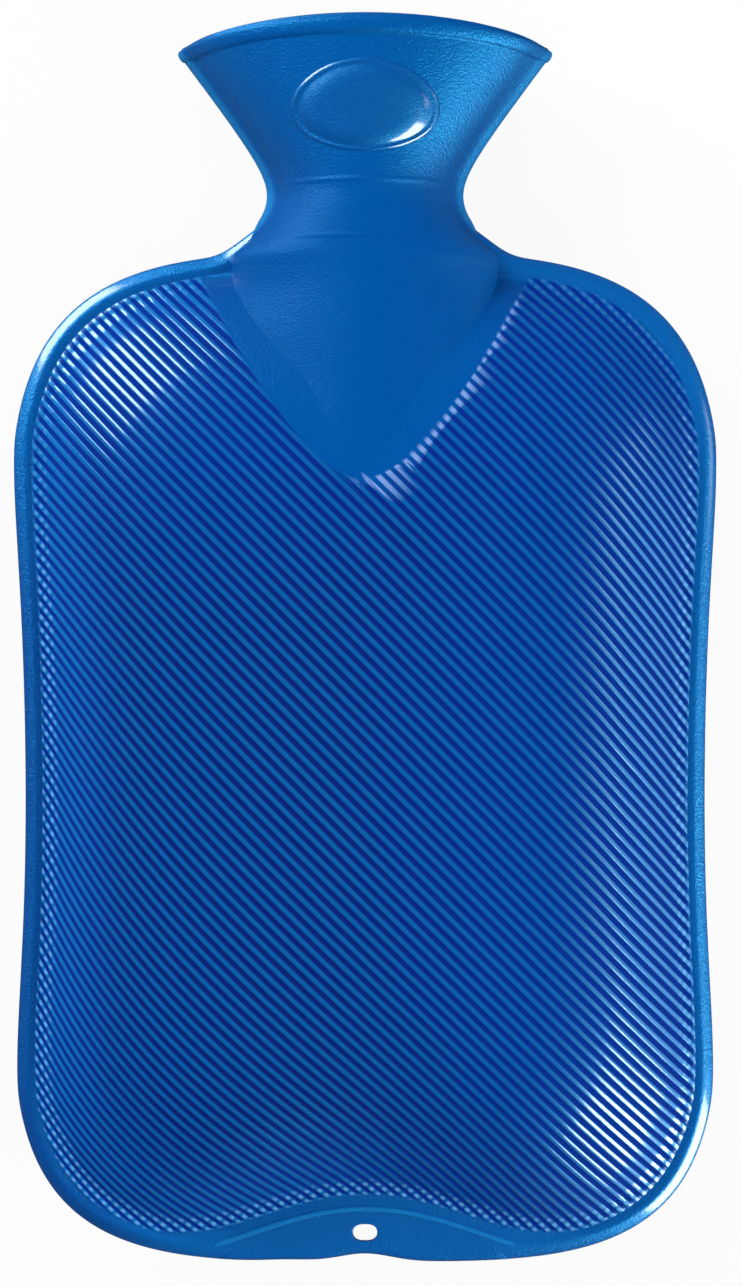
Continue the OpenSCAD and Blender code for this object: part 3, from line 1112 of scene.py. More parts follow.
@dataclass
class BottleSkin:
    """The bottle in one moulding: two ribbed faces, seam flange, neck, funnel and tab.

    Lengths are in millimetres, heights are taken from the bottom edge, and a span gives the
    values between which something rises from nothing to full.
    """

    form: BottleForm
    # Ribbed faces
    samples_per_rib: int = 6
    points_per_line: int = 42
    fine_samples: int = 601
    mask_edge: Span = (0.3, 1.3)
    mask_border: Span = (0.0, 1.5)
    swell_edge: Span = (2.0, 5.0)
    least_swell: float = 0.55
    end_dip: float = 0.9
    last_gap: float = 0.2
    crowd_always: float = 0.3
    crowd_edge: float = 2.0
    edge_spread: float = 6.0
    crowd_border: float = 3.0
    border_spread: float = 1.4
    tip_margin: float = 3.0
    sum_span: Span = (-140.0, 460.0)
    sum_halvings: int = 26
    longest_run: float = 420.0
    run_halvings: int = 22
    # Neck and funnel
    ring_points: int = 112
    side_crowding: float = 0.36
    insert_low: float = INSERT_LOW
    insert_high: float = 294.0
    throat_radius: float = 20.0
    passage_radius: float = 18.25
    line_low: float = 277.8
    line_high: float = 292.8
    line_height: float = 0.3
    line_spread: float = 0.5
    insert_room: float = 2.6
    fin_sharpness: float = 45.0
    fin_taper: float = 2.4
    fin_fade: float = 3.5
    fin_fade_length: float = 3.8
    # Where the finish paints a highlight on the fin by the seam and on the neck's flanks.
    seam_highlight_rise: Span = (-0.6, 2.4)
    seam_highlight_height: Span = (262.0, 280.0)
    flank_side: Span = (0.55, 0.95)
    flank_light: float = 0.25
    # Tab and flange
    hole_height: float = 8.0
    hole_width: float = 6.6
    hole_opening: float = 4.6
    hole_squareness: float = 3.0
    tab_overlap: float = 2.2
    tab_points: int = 90
    tab_reach: float = 40.0
    tab_height: float = 60.0
    foot_height: float = 30.0
    bead_start: Span = (30.0, 62.0)
    path_points: int = 380
    corner_window: int = 15
    arch_width: float = 1.6
    arch_height: float = 0.55
    arch_share: float = 0.385
    arch_foot: float = 3.0
    arch_rise: float = 0.7
    # Bare oval pad
    badge_height: float = 311.0
    badge_width: float = 39.6
    badge_tall: float = 21.6
    badge_lift: float = 0.9
    badge_fall: Span = (0.68, 0.94)
    badge_rim: float = 0.26
    rim_place: float = 0.96
    rim_spread: float = 0.035
    badge_end: Span = (1.0, 1.06)
    badge_dip: float = 0.8

    def on_line(self, count: Array, slide: Array) -> tuple[Array, Array]:
        """Finds the point of a rib line at a given difference of x and height.

        The ribs' measure grows with the sum of x and height, so the sum is found by
        halving an interval.

        Args:
            count: The lines' rib counts.
            slide: x minus height at the wanted points.

        Returns:
            x and height of the points.
        """
        wanted = count * self.form.diagonal
        low, high = (np.full(slide.shape, end) for end in self.sum_span)
        for _ in range(self.sum_halvings):
            mid = (low + high) / 2
            under = self.form.rib_measure((mid + slide) / 2, (mid - slide) / 2) < wanted
            low, high = np.where(under, mid, low), np.where(under, high, mid)
        return (low + slide) / 2, (low - slide) / 2

    def face_corners(self) -> tuple[Array, Array]:
        """Finds the ribbed face's lower left and upper right corner.

        A corner lies where u and v are equal, so each is the 1/p power of a half.

        Returns:
            x and height of the lower left corner, and of the upper right one.
        """
        form = self.form
        found = []
        for side, power in ((-1.0, form.lower_power), (1.0, form.upper_power)):
            part = 0.5 ** (1 / power)
            depth = form.corner_reach - (form.corner_reach - form.rib_border) * part
            h = form.body_length - depth if side > 0 else depth
            x = side * (form.side_reach(np.array(h)) - form.rib_border) * part
            found.append(np.array([x, h]))
        return found[0], found[1]

    def face_ends(self, count: Array) -> tuple[Array, Array]:
        """Finds where each rib line enters and leaves the face.

        From the diagonal between two corners the run to the edge is halved until found.

        Args:
            count: The lines' rib counts.

        Returns:
            The difference of x and height at the lines' upper and lower ends.
        """
        form = self.form
        start, end = self.face_corners()
        first, last = (form.rib_measure(*corner) for corner in (start, end))
        share = (count * form.diagonal - first) / (last - first)
        middle = (start[0] - start[1]) * (1.0 - share) + (end[0] - end[1]) * share
        ends = []
        for way in (-1.0, 1.0):
            low, high = np.zeros_like(middle), np.full_like(middle, self.longest_run)
            for _ in range(self.run_halvings):
                run = (low + high) / 2
                x, h = self.on_line(count, middle + way * run)
                inside = form.face_place(x, h, form.rib_border) < 1.0
                low, high = np.where(inside, run, low), np.where(inside, high, run)
            ends.append(middle + way * low)
        return ends[0], ends[1]

    def edge_distance(self, x: Array, h: Array) -> Array:
        """Measures how far points lie inside the ribbed face's edge, along its axes.

        Args:
            x: Places across.
            h: Heights over the bottom edge.

        Returns:
            The distances in millimetres.
        """
        form = self.form
        reach = form.corner_reach - form.rib_border
        return (1.0 - form.face_place(x, h, form.rib_border)) * reach

    def rib_mask(self, x: Array, h: Array, edge: Array) -> Array:
        """Share of the ribs' height that stands at a point.

        It is the product of two rises, one from the face's edge and one from the edge of
        the V or, below it, from the V's tip.

        Args:
            x: Places across.
            h: Heights over the bottom edge.
            edge: Distances from the face's edge.

        Returns:
            The shares, 1 where the ribs stand at full height.
        """
        form = self.form
        below = np.hypot(x, h - form.yoke_tip)
        beside = np.where(h > form.yoke_tip, np.abs(x) - form.yoke_edge(h), below)
        return smooth(edge, *self.mask_edge) * smooth(beside, *self.mask_border)

    def crowding(self, x: Array, h: Array) -> Array:
        """Weight by which the points of a rib line crowd.

        It is a constant, plus an exponential that falls with the distance from the face's
        edge, plus a bell curve of the distance from the edge of the V.

        Args:
            x: Places across.
            h: Heights over the bottom edge.

        Returns:
            The weights.
        """
        form = self.form
        beside_yoke = h > form.yoke_tip - self.tip_margin
        border = np.where(beside_yoke, np.abs(np.abs(x) - form.yoke_edge(h)), np.inf)
        by_edge = self.crowd_edge * np.exp(-self.edge_distance(x, h) / self.edge_spread)
        by_border = self.crowd_border * np.exp(-((border / self.border_spread) ** 2))
        return self.crowd_always + by_edge + by_border

    def ribbed_face(self) -> Patch:
        """Builds the front face: a grid whose lines run along the ribs.

        The height over the seam is the dome's plus the rib profile times the mask, and
        the profile is lower close to the face's edge. The ends of the lines dip into the
        flange, and faces between them close the shape underneath.

        Returns:
            The closed face, with the ribs' place at each point.
        """
        form = self.form
        columns = self.points_per_line
        first, last = (form.rib_measure(*corner) / form.diagonal for corner in self.face_corners())
        first = math.ceil(first * self.samples_per_rib + 1.0) / self.samples_per_rib
        lines = int((last - self.last_gap - first) * self.samples_per_rib)
        count = first + np.arange(lines)[:, None] / self.samples_per_rib
        upper, lower = self.face_ends(count)
        fine = np.linspace(0.0, 1.0, self.fine_samples)
        x, h = self.on_line(count, upper + (lower - upper) * fine)
        share = spread(fine, self.crowding(x, h), columns)
        x, h = self.on_line(count, upper + (lower - upper) * share)
        edge = self.edge_distance(x, h)
        mask = self.rib_mask(x, h, edge)
        swell = self.least_swell + (1.0 - self.least_swell) * smooth(edge, *self.swell_edge)
        z = form.level(x, h) + swell * form.rib_profile(count) * mask
        z[:, [0, -1]] = form.flange_half - self.end_dip
        crossing = form.rib_measure(-x, h) / form.diagonal
        ribs = np.stack([np.broadcast_to(count, x.shape), crossing, edge, mask], axis=-1)
        start = np.arange(lines - 1) * columns
        under = np.stack([start, start + columns, start + 2 * columns - 1,
                          start + columns - 1], axis=-1)
        line = np.arange(columns)
        faces = [*grid_faces(lines, columns, False, flip=True), *under[:, ::-1],
                 line, line[::-1] + (lines - 1) * columns]
        return Patch(np.stack([x, h, z], axis=-1).reshape(-1, 3), faces, ribs.reshape(-1, 4))

    def neck_profile(self) -> tuple[Array, Array, Array, int, int]:
        """Works out the ovals of the neck.

        They climb the outside from the yoke to the rounded lip, roll over the rim, run
        down inside the funnel and end round the room for the insert. The roll is half a
        circle of the wall's thickness, and the inside lies one wall's thickness in.

        Returns:
            Heights, half widths and half depths, the number of ovals below the lip, and
            the number of the first oval inside.
        """
        form = self.form
        body = np.concatenate([
            np.linspace(form.crease_tip + 0.3, self.line_low - 2.0, 40),
            np.linspace(self.line_low - 1.5, self.line_low + 1.5, 9),
            np.linspace(self.line_low + 2.5, self.line_high - 2.5, 10),
            np.linspace(self.line_high - 1.5, self.line_high + 1.5, 9),
            np.linspace(self.line_high + 2.5, form.rim_height - form.lip_height - 0.4, 26),
        ])
        lip_turn = np.linspace(-0.5, 0.5, 9) * np.pi
        lip_h = form.rim_height - form.lip_height / 2 + form.lip_height / 2 * np.sin(lip_turn)
        lip_out = form.lip_thickness * np.cos(lip_turn) ** 0.6
        roll = np.linspace(0.15, 0.85, 5) * np.pi
        roll_h = form.rim_height + form.funnel_wall * 0.35 * np.sin(roll)
        roll_in = form.funnel_wall * (1 - np.cos(roll)) / 2
        inner = np.linspace(form.rim_height, self.insert_high, 24)
        h = np.concatenate([body, lip_h, roll_h, inner])
        offset = np.concatenate([np.zeros(body.size), lip_out, -roll_in,
                                 np.full(inner.size, -form.funnel_wall)])
        blend = smooth(h, form.yoke_top, form.yoke_top + 6.0)
        reach = form.yoke_reach(h) * (1.0 - blend) + form.neck_reach(h) * blend + offset
        depth = form.neck_depth(h) + offset
        inner_start = h.size - inner.size
        reach[inner_start:] = np.maximum(reach[inner_start:], self.throat_radius)
        depth[inner_start:] = np.maximum(depth[inner_start:], self.throat_radius)
        room = self.passage_radius + self.insert_room
        tail = np.array([[self.insert_high, room],
                         [self.insert_low - 0.05, room],
                         [self.insert_low - 0.05, self.passage_radius],
                         [self.insert_low - 3.0, self.passage_radius],
                         [self.insert_low - 12.0, self.passage_radius + 2.0]])
        return (np.concatenate([h, tail[:, 0]]), np.concatenate([reach, tail[:, 1]]),
                np.concatenate([depth, tail[:, 1]]), body.size, inner_start)

    def neck(self) -> Patch:
        """Builds yoke, neck and funnel, outside and inside, in one closed stack of ovals.

        A point at angle a is (reach cos a, height, depth sin a), with cos and sin taken to
        2 / p for a section of power p. The rim is raised by a power of |sin a|, which
        fades as the cube of the way down the funnel. Two low bell curves on the reach and
        the depth are the lines round the neck. The flange beside the neck is a fin: its
        width times a high power of cos a is added across. The points' marks grow towards
        the seam's on the fin and a little on the flanks, where the finish paints a highlight.

        Returns:
            The closed surface with its marks.
        """
        form = self.form
        h, reach, depth, body, inner_start = self.neck_profile()
        t = np.linspace(0.0, 2.0 * np.pi, self.ring_points, endpoint=False)
        a = t - self.side_crowding * np.sin(2.0 * t)
        cos, sin = np.cos(a), np.sin(a)
        fin = form.neck_flange * smooth(h, form.body_length + 1.0, form.body_length + 9.0)
        fade = np.clip((h - form.rim_height + self.fin_fade) / self.fin_fade_length, 0.0, 1.0)
        fin *= np.sqrt(1.0 - 0.75 * fade**2)
        fin[inner_start:] = 0.0
        ridge = sum(np.exp(-(((h - at) / self.line_spread) ** 2))
                    for at in (self.line_low, self.line_high))
        line = self.line_height * ridge[:, None] * sin**2
        line[body:] = 0.0
        turn = 2.0 / form.neck_power(h)[:, None]
        across = (reach[:, None] + line) * np.sign(cos) * np.abs(cos) ** turn
        across += fin[:, None] * cos * (cos**2) ** self.fin_sharpness
        deep = (depth[:, None] + line) * np.sign(sin) * np.abs(sin) ** turn
        rise_share = np.clip((h - self.insert_high) / (form.rim_height - self.insert_high), 0, 1.05)
        rise = form.rim_rise * rise_share[:, None] ** 3 * np.abs(sin) ** form.rim_power
        neck = ring_patch(np.stack([across, h[:, None] + rise, deep], axis=-1))
        # Painted highlight: the seam fin and, a little, the flanks get marks that the finish shows
        # lighter.
        seam = smooth(np.abs(across) - reach[:, None], *self.seam_highlight_rise)
        seam *= smooth(h, *self.seam_highlight_height)[:, None]
        flank = self.flank_light * smooth(np.abs(cos), *self.flank_side) * (1.0 - 0.5 * seam)
        light = np.maximum(seam, flank)
        light[inner_start:] = 0.0
        neck.ribs = np.zeros((len(neck.points), 4))
        neck.ribs[:, 2] = NECK_MARK + (SEAM_HIGHLIGHT_MARK - NECK_MARK) * light.ravel()
        return neck

    def flange_path(self) -> Array:
        """Works out the right half of the flange's outline, from the foot to the neck.

        Where the shoulder meets the neck's flare the corner is rounded by averaging each
        point with its neighbours, by a raised cosine's weights.

        Returns:
            Points as rows of x and height.
        """
        form = self.form
        body = form.outline(64)
        shoulder = body[(body[:, 0] > 25.0) & ((body[:, 1] < 200.0) | (body[:, 0] > 41.5))]
        h = np.linspace(form.body_length - 0.6, form.neck_height + 2.0, 60)
        taper = smooth(h, form.body_length + 3.0, form.body_length + 11.0)
        neck = np.stack([form.neck_reach(h) + form.neck_flange - self.fin_taper * taper, h], axis=1)
        path = np.concatenate([shoulder, neck])
        run = np.concatenate([[0.0], np.cumsum(np.linalg.norm(np.diff(path, axis=0), axis=1))])
        even = np.linspace(0.0, run[-1], self.path_points)
        path = np.stack([np.interp(even, run, path[:, k]) for k in (0, 1)], axis=1)
        kernel = np.hanning(self.corner_window) / np.hanning(self.corner_window).sum()
        rounded = np.stack([np.convolve(path[:, k], kernel, mode="same") for k in (0, 1)], axis=1)
        kept = self.corner_window // 2 + 1
        rounded[:kept], rounded[-kept:] = path[:kept], path[-kept:]
        return rounded

    def flange_band(self) -> Patch:
        """Builds the flange round the body and up to the neck, carried along its outline.

        Its outer edge is half an oval of power p: at angle a from straight down to
        straight up it stands in by round * (1 - cos a) and up by half the thickness * sin a,
        with cos and sin taken to 2 / p. Beside the ribbed faces p is low, which gives a
        sloping bead, thicker than the flange; it fades out towards the tab and the neck.

        Returns:
            Both halves as one surface with its marks.
        """
        form = self.form
        path = self.flange_path()
        tangent = np.gradient(path, axis=0)
        tangent /= np.linalg.norm(tangent, axis=1, keepdims=True)
        inward = np.stack([-tangent[:, 1], tangent[:, 0]], axis=1)
        on_neck = smooth(path[:, 1], form.body_length - 2.0, form.neck_height - 4.0)
        a = np.linspace(-0.4999, 0.4999, 13) * np.pi
        low = smooth(path[:, 0], *self.bead_start)
        at_foot = path[:, 1] < self.tab_height
        bead = np.where(at_foot, low, 1.0 - on_neck)[:, None]
        turn = form.flange_round + (form.bead_round - form.flange_round) * bead
        turn *= 1.0 - 0.5 * on_neck[:, None]
        tall = form.flange_half + (form.bead_half - form.flange_half) * bead
        bend = 2.0 / (2.0 + (form.bead_power - 2.0) * bead)
        cos, sin = np.cos(a)[None, :] ** bend, np.abs(np.sin(a))[None, :] ** bend
        rest = np.full_like(turn, form.flange_half)
        # Four points on each side lead from under the face out to the bead, and draw closer
        # together along the neck.
        wide = form.dome_border + 3.6 - 4.0 * on_neck[:, None]
        side = [wide, wide - 2.3, turn + 2.4 - 1.6 * on_neck[:, None],
                turn + 1.2 - 0.8 * on_neck[:, None]]
        rise = [0.9 * rest, rest, rest, 0.45 * rest + 0.55 * tall]
        depth = np.concatenate([*side, turn * (1.0 - cos), *side[::-1]], axis=1)
        edge = tall * sin * np.sign(a)[None, :]
        level = np.concatenate([*(-v for v in rise), edge, *rise[::-1]], axis=1)
        x = path[:, None, 0] + inward[:, None, 0] * depth
        h = path[:, None, 1] + inward[:, None, 1] * depth
        ends = np.minimum(np.arange(len(path)), np.arange(len(path))[::-1])
        z = level * (1.0 - 0.3 * np.exp(-ends / 1.2))[:, None]
        right = ring_patch(np.stack([x, h, z], axis=-1), closed_ends=True, flip=True)
        left = Patch(right.points * np.array([-1.0, 1.0, 1.0]),
                     [face[::-1] for face in right.faces])
        # The lobe of the foot lies on one side, so the mirrored half takes up its own edge.
        swing = form.foot_line(left.points[:, 0]) - form.foot_line(-left.points[:, 0])
        left.points[:, 1] += np.where(left.points[:, 1] < self.foot_height, swing, 0.0)
        flange = merge(right, left)
        mark = np.where(at_foot, TAB_MARK * (1.0 - low), FLANGE_MARK)
        flange.ribs = np.zeros((len(flange.points), 4))
        flange.ribs[:, 2] = np.tile(np.repeat(mark, level.shape[1]), 2)
        return flange

    def tab(self) -> Patch:
        """Builds the flat tab at the foot with its long hanging hole.

        Rings of points run from the hole's wall over the upper face to the outer edge and
        back underneath. Between hole and edge a point is (1 - t) hole + t edge. The hole's
        width is drawn out by the hyperbolic tangent of the angle's cosine.

        Returns:
            The closed surface with its mark.
        """
        form = self.form
        x_low = np.linspace(-self.tab_reach, self.tab_reach, self.tab_points, endpoint=False)
        x_up = -x_low
        edge = np.concatenate([
            np.stack([x_low, form.foot_line(x_low)], axis=1),
            np.stack([x_up, form.dome_border + form.tab_arch(x_up) + self.tab_overlap], axis=1),
        ])
        angle = np.arctan2(edge[:, 1] - self.hole_height, edge[:, 0])
        r = self.hole_opening / 2
        run = (self.hole_width - self.hole_opening) / 2
        drawn = run * np.tanh(self.hole_squareness * np.cos(angle))
        hole = np.stack([r * np.cos(angle) + drawn, self.hole_height + r * np.sin(angle)], axis=1)
        span = np.linalg.norm(edge - hole, axis=1)[None, :]
        rounding = np.minimum(form.flange_round, 0.6 * span) / span
        a = np.linspace(-0.5, 0.5, 11)[:, None] * np.pi
        half = form.flange_half - form.layer_gap
        wall = np.broadcast_to(0.01 - 0.01 * np.cos(a), (a.size, span.size))
        inner = np.array([0.03, 0.1, 0.3, 0.6, 0.9])[:, None] * (1.0 - rounding)
        outer = 1.0 - rounding * (1.0 - np.cos(a))
        shares = np.concatenate([wall, inner, outer, inner[::-1]])
        flat = np.full(len(inner), half)
        rise = half * np.sin(a[:, 0])
        levels = np.concatenate([rise, flat, rise[::-1], -flat])
        point = hole[None] + (edge - hole)[None] * shares[:, :, None]
        z = np.broadcast_to(levels[:, None, None], (*point.shape[:2], 1))
        rings = np.concatenate([point, z], axis=-1)
        rings = np.concatenate([rings, rings[:1]])
        plate = ring_patch(rings, closed_ends=False, flip=True)
        plate.mark = TAB_MARK
        return plate

    def arched_beads(self) -> list[Patch]:
        """Builds the raised line that arches over the hanging hole, front and back.

        Its path is a cosine to the power 1.3, and an oval is carried along it. Both ends
        sink into the tab by the line's width, with the tenth power of the way along.

        Returns:
            The front line and the back one.
        """
        form = self.form
        x = np.linspace(-1.0, 1.0, 80)
        top = form.tab_rise + self.arch_rise
        h = self.arch_foot + (top - self.arch_foot) * np.cos(np.pi / 2 * x) ** 1.3
        z = form.flange_half - self.arch_width * np.abs(x) ** 10
        path = np.stack([x * form.tab_width * self.arch_share, h, z], axis=1)
        tangent = np.gradient(path, axis=0)
        tangent /= np.linalg.norm(tangent, axis=1, keepdims=True)
        up = np.tile([0.0, 0.0, 1.0], (x.size, 1))
        across = np.cross(up, tangent)
        a = np.linspace(0.0, 2.0 * np.pi, 10, endpoint=False)
        rings = (path[:, None] + across[:, None] * (self.arch_width / 2 * np.cos(a))[:, None]
                 + up[:, None] * (self.arch_height * np.sin(a))[:, None])
        bead = ring_patch(rings)
        # Its mark makes the finish paint a highlight on the bead.
        bead.mark = BEAD_HIGHLIGHT_MARK
        return [bead, bead.turned()]

    def badge(self) -> Patch:
        """Builds the bare raised oval on the front of the funnel, following its surface.

        At a share s of the way from its middle the pad stands out by a low pillow plus a
        bell curve for the rim, and it dips under the funnel's surface at its edge. It
        stands out along the cross product of two short steps on the surface.

        Returns:
            The closed surface with its mark.
        """
        form = self.form
        share = np.concatenate([[0.001], np.linspace(0.2, 0.8, 6), np.linspace(0.84, 1.06, 14)])
        t = np.linspace(0.0, 2.0 * np.pi, 128, endpoint=False)
        x = self.badge_width / 2 * share[:, None] * np.cos(t)[None, :]
        h = self.badge_height + self.badge_tall / 2 * share[:, None] * np.sin(t)[None, :]
        place = self.on_funnel(x, h)
        step = 0.1
        side = self.on_funnel(x + step, h) - place
        up = self.on_funnel(x, h + step) - place
        outward = np.cross(side, up)
        outward /= np.linalg.norm(outward, axis=-1, keepdims=True)
        pillow = self.badge_lift * (1.0 - smooth(share, *self.badge_fall)) + 0.1
        rim = self.badge_rim * np.exp(-(((share - self.rim_place) / self.rim_spread) ** 2))
        lift = pillow + rim - self.badge_dip * smooth(share, *self.badge_end)
        pad = ring_patch(place + outward * lift[:, None, None])
        pad.mark = PAD_MARK
        return pad

    def on_funnel(self, x: Array, h: Array) -> Array:
        """Finds points on the front of the funnel.

        The sine follows from the oval: its cosine is x over the half width.

        Args:
            x: Places across.
            h: Heights of the ovals before the rim's rise.

        Returns:
            The points, as x, height and level.
        """
        form = self.form
        sine = np.sqrt(1.0 - (x / form.neck_reach(h)) ** 2)
        share = np.clip((h - self.insert_high) / (form.rim_height - self.insert_high), 0.0, 1.0)
        return np.stack([x, h + form.rim_rise * share**3 * sine**form.rim_power,
                         form.neck_depth(h) * sine], axis=-1)

    def patches(self) -> list[Patch]:
        """Builds all surfaces of the bottle, the ribbed face twice."""
        front = self.ribbed_face()
        return [front, front.turned(), self.neck(), self.flange_band(), self.tab(),
                *self.arched_beads(), self.badge()]

    def build(self, origin: Array, material: bpy.types.Material) -> bpy.types.Object:
        """Builds the bottle in place of its plain solid.

        Args:
            origin: Place of the bottom edge's middle at the seam, in metres.
            material: The ribbed blue finish.

        Returns:
            The bottle's object.
        """
        piece = make_piece("bottle_skin", self.patches(), origin, material)
        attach(piece, "body")
        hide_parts("bottle")
        return piece


# The closure


def threaded_wall(radius: float, depth: float, lead: float, low: float, high: float,
                  rows: int, around: int) -> Array:
    """Rings of a round wall with one thread cut into it.

    The radius is the crest's less depth times w. w is a raised cosine to the power 1.5 of
    the turn plus the height over the lead, so the groove gains one lead a turn. It fades
    out over four tenths of a lead at each end.

    Args:
        radius: Radius of the thread's crest.
        depth: Depth of the thread; negative cuts outwards.
        lead: Height gained in one turn.
        low: Height of the first ring.
        high: Height of the last ring.
        rows: Number of rings.
        around: Number of points on a ring.

    Returns:
        Points as rings by points by three, in millimetres from the seam and the edge.
    """
    h = np.linspace(low, high, rows)[:, None]
    a = np.linspace(0.0, 2.0 * np.pi, around, endpoint=False)[None, :]
    turn = a / (2.0 * np.pi) + (h - low) / lead
    wave = (0.5 - 0.5 * np.cos(2.0 * np.pi * turn)) ** 1.5
    fade = lead * 0.4
    ends = smooth(h, low, low + fade) * smooth(-h, -high, -high + fade)
    r = radius - depth * wave * ends
    return np.stack([r * np.cos(a), np.broadcast_to(h, r.shape), -r * np.sin(a)], axis=-1)


def turned_rings(profile: list[tuple[float, float]], around: int) -> Array:
    """Rings of a turned shape from a list of radius and height.

    Args:
        profile: Radius and height of each ring.
        around: Number of points on a ring.

    Returns:
        Points as rings by points by three.
    """
    a = np.linspace(0.0, 2.0 * np.pi, around, endpoint=False)[None, :]
    r, h = (np.array(values)[:, None] for values in zip(*profile))
    return np.stack([r * np.cos(a), h + 0.0 * a, -r * np.sin(a)], axis=-1)


@dataclass
class NeckInsert:
    """The threaded ring moulded into the neck."""

    low: float = INSERT_LOW
    length: float = 14.1
    outer_radius: float = 20.8
    bore_radius: float = 13.5
    thread_depth: float = 1.1
    lead: float = 5.0
    around: int = 96

    def build(self, origin: Array, material: bpy.types.Material) -> bpy.types.Object:
        """Builds the ring with its inner thread.

        Args:
            origin: Place of the bottom edge's middle at the seam, in metres.
            material: The insert's finish.

        Returns:
            The insert's object.
        """
        high = self.low + self.length
        wall = threaded_wall(self.bore_radius, -self.thread_depth, self.lead, high - 1.0,
                             self.low + 0.6, 70, self.around)
        outside = turned_rings([
            (self.bore_radius + 0.5, self.low), (self.outer_radius - 0.4, self.low),
            (self.outer_radius, self.low + 0.4), (self.outer_radius, self.low + 3.8),
            (self.outer_radius - 1, self.low + 3.8), (self.outer_radius - 1, self.low + 4.8),
            (self.outer_radius, self.low + 4.8), (self.outer_radius, high - 4.6),
            (self.outer_radius - 1, high - 4.6), (self.outer_radius - 1, high - 3.6),
            (self.outer_radius, high - 3.6), (self.outer_radius, high - 0.3),
            (self.outer_radius - 0.3, high), (self.bore_radius + 1.0, high),
            (self.bore_radius + 0.3, high - 0.4),
        ], self.around)
        rings = np.concatenate([outside, wall, outside[:1]])
        patch = ring_patch(rings, closed_ends=False, flip=True)
        piece = make_piece("neck_thread_ring", [patch], origin, material)
        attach(piece, "body")
        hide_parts("neck_insert")
        return piece


@dataclass
class SealWasher:
    """The soft ring under the stopper's head."""

    low: float = 293.95
    thickness: float = 2.0
    outer_radius: float = 18.0
    inner_radius: float = 13.5
    around: int = 96

    def build(self, origin: Array, material: bpy.types.Material) -> bpy.types.Object:
        """Builds the washer as a rounded ring with two fine lips.

        Args:
            origin: Place of the bottom edge's middle at the seam, in metres.
            material: The washer's finish.

        Returns:
            The washer's object.
        """
        high = self.low + self.thickness
        rings = turned_rings([
            (self.inner_radius, self.low + 0.3), (self.inner_radius + 0.3, self.low),
            (self.outer_radius - 0.4, self.low), (self.outer_radius - 0.1, self.low + 0.15),
            (self.outer_radius, self.low + 0.5), (self.outer_radius - 0.25, self.low + 1.0),
            (self.outer_radius, high - 0.5), (self.outer_radius - 0.1, high - 0.15),
            (self.outer_radius - 0.4, high), (self.inner_radius + 0.3, high),
            (self.inner_radius, high - 0.3), (self.inner_radius, self.low + 0.3),
        ], self.around)
        piece = make_piece("washer_ring", [ring_patch(rings, False, flip=True)], origin, material)
        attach(piece, "washer")
        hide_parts("seal_washer")
        return piece


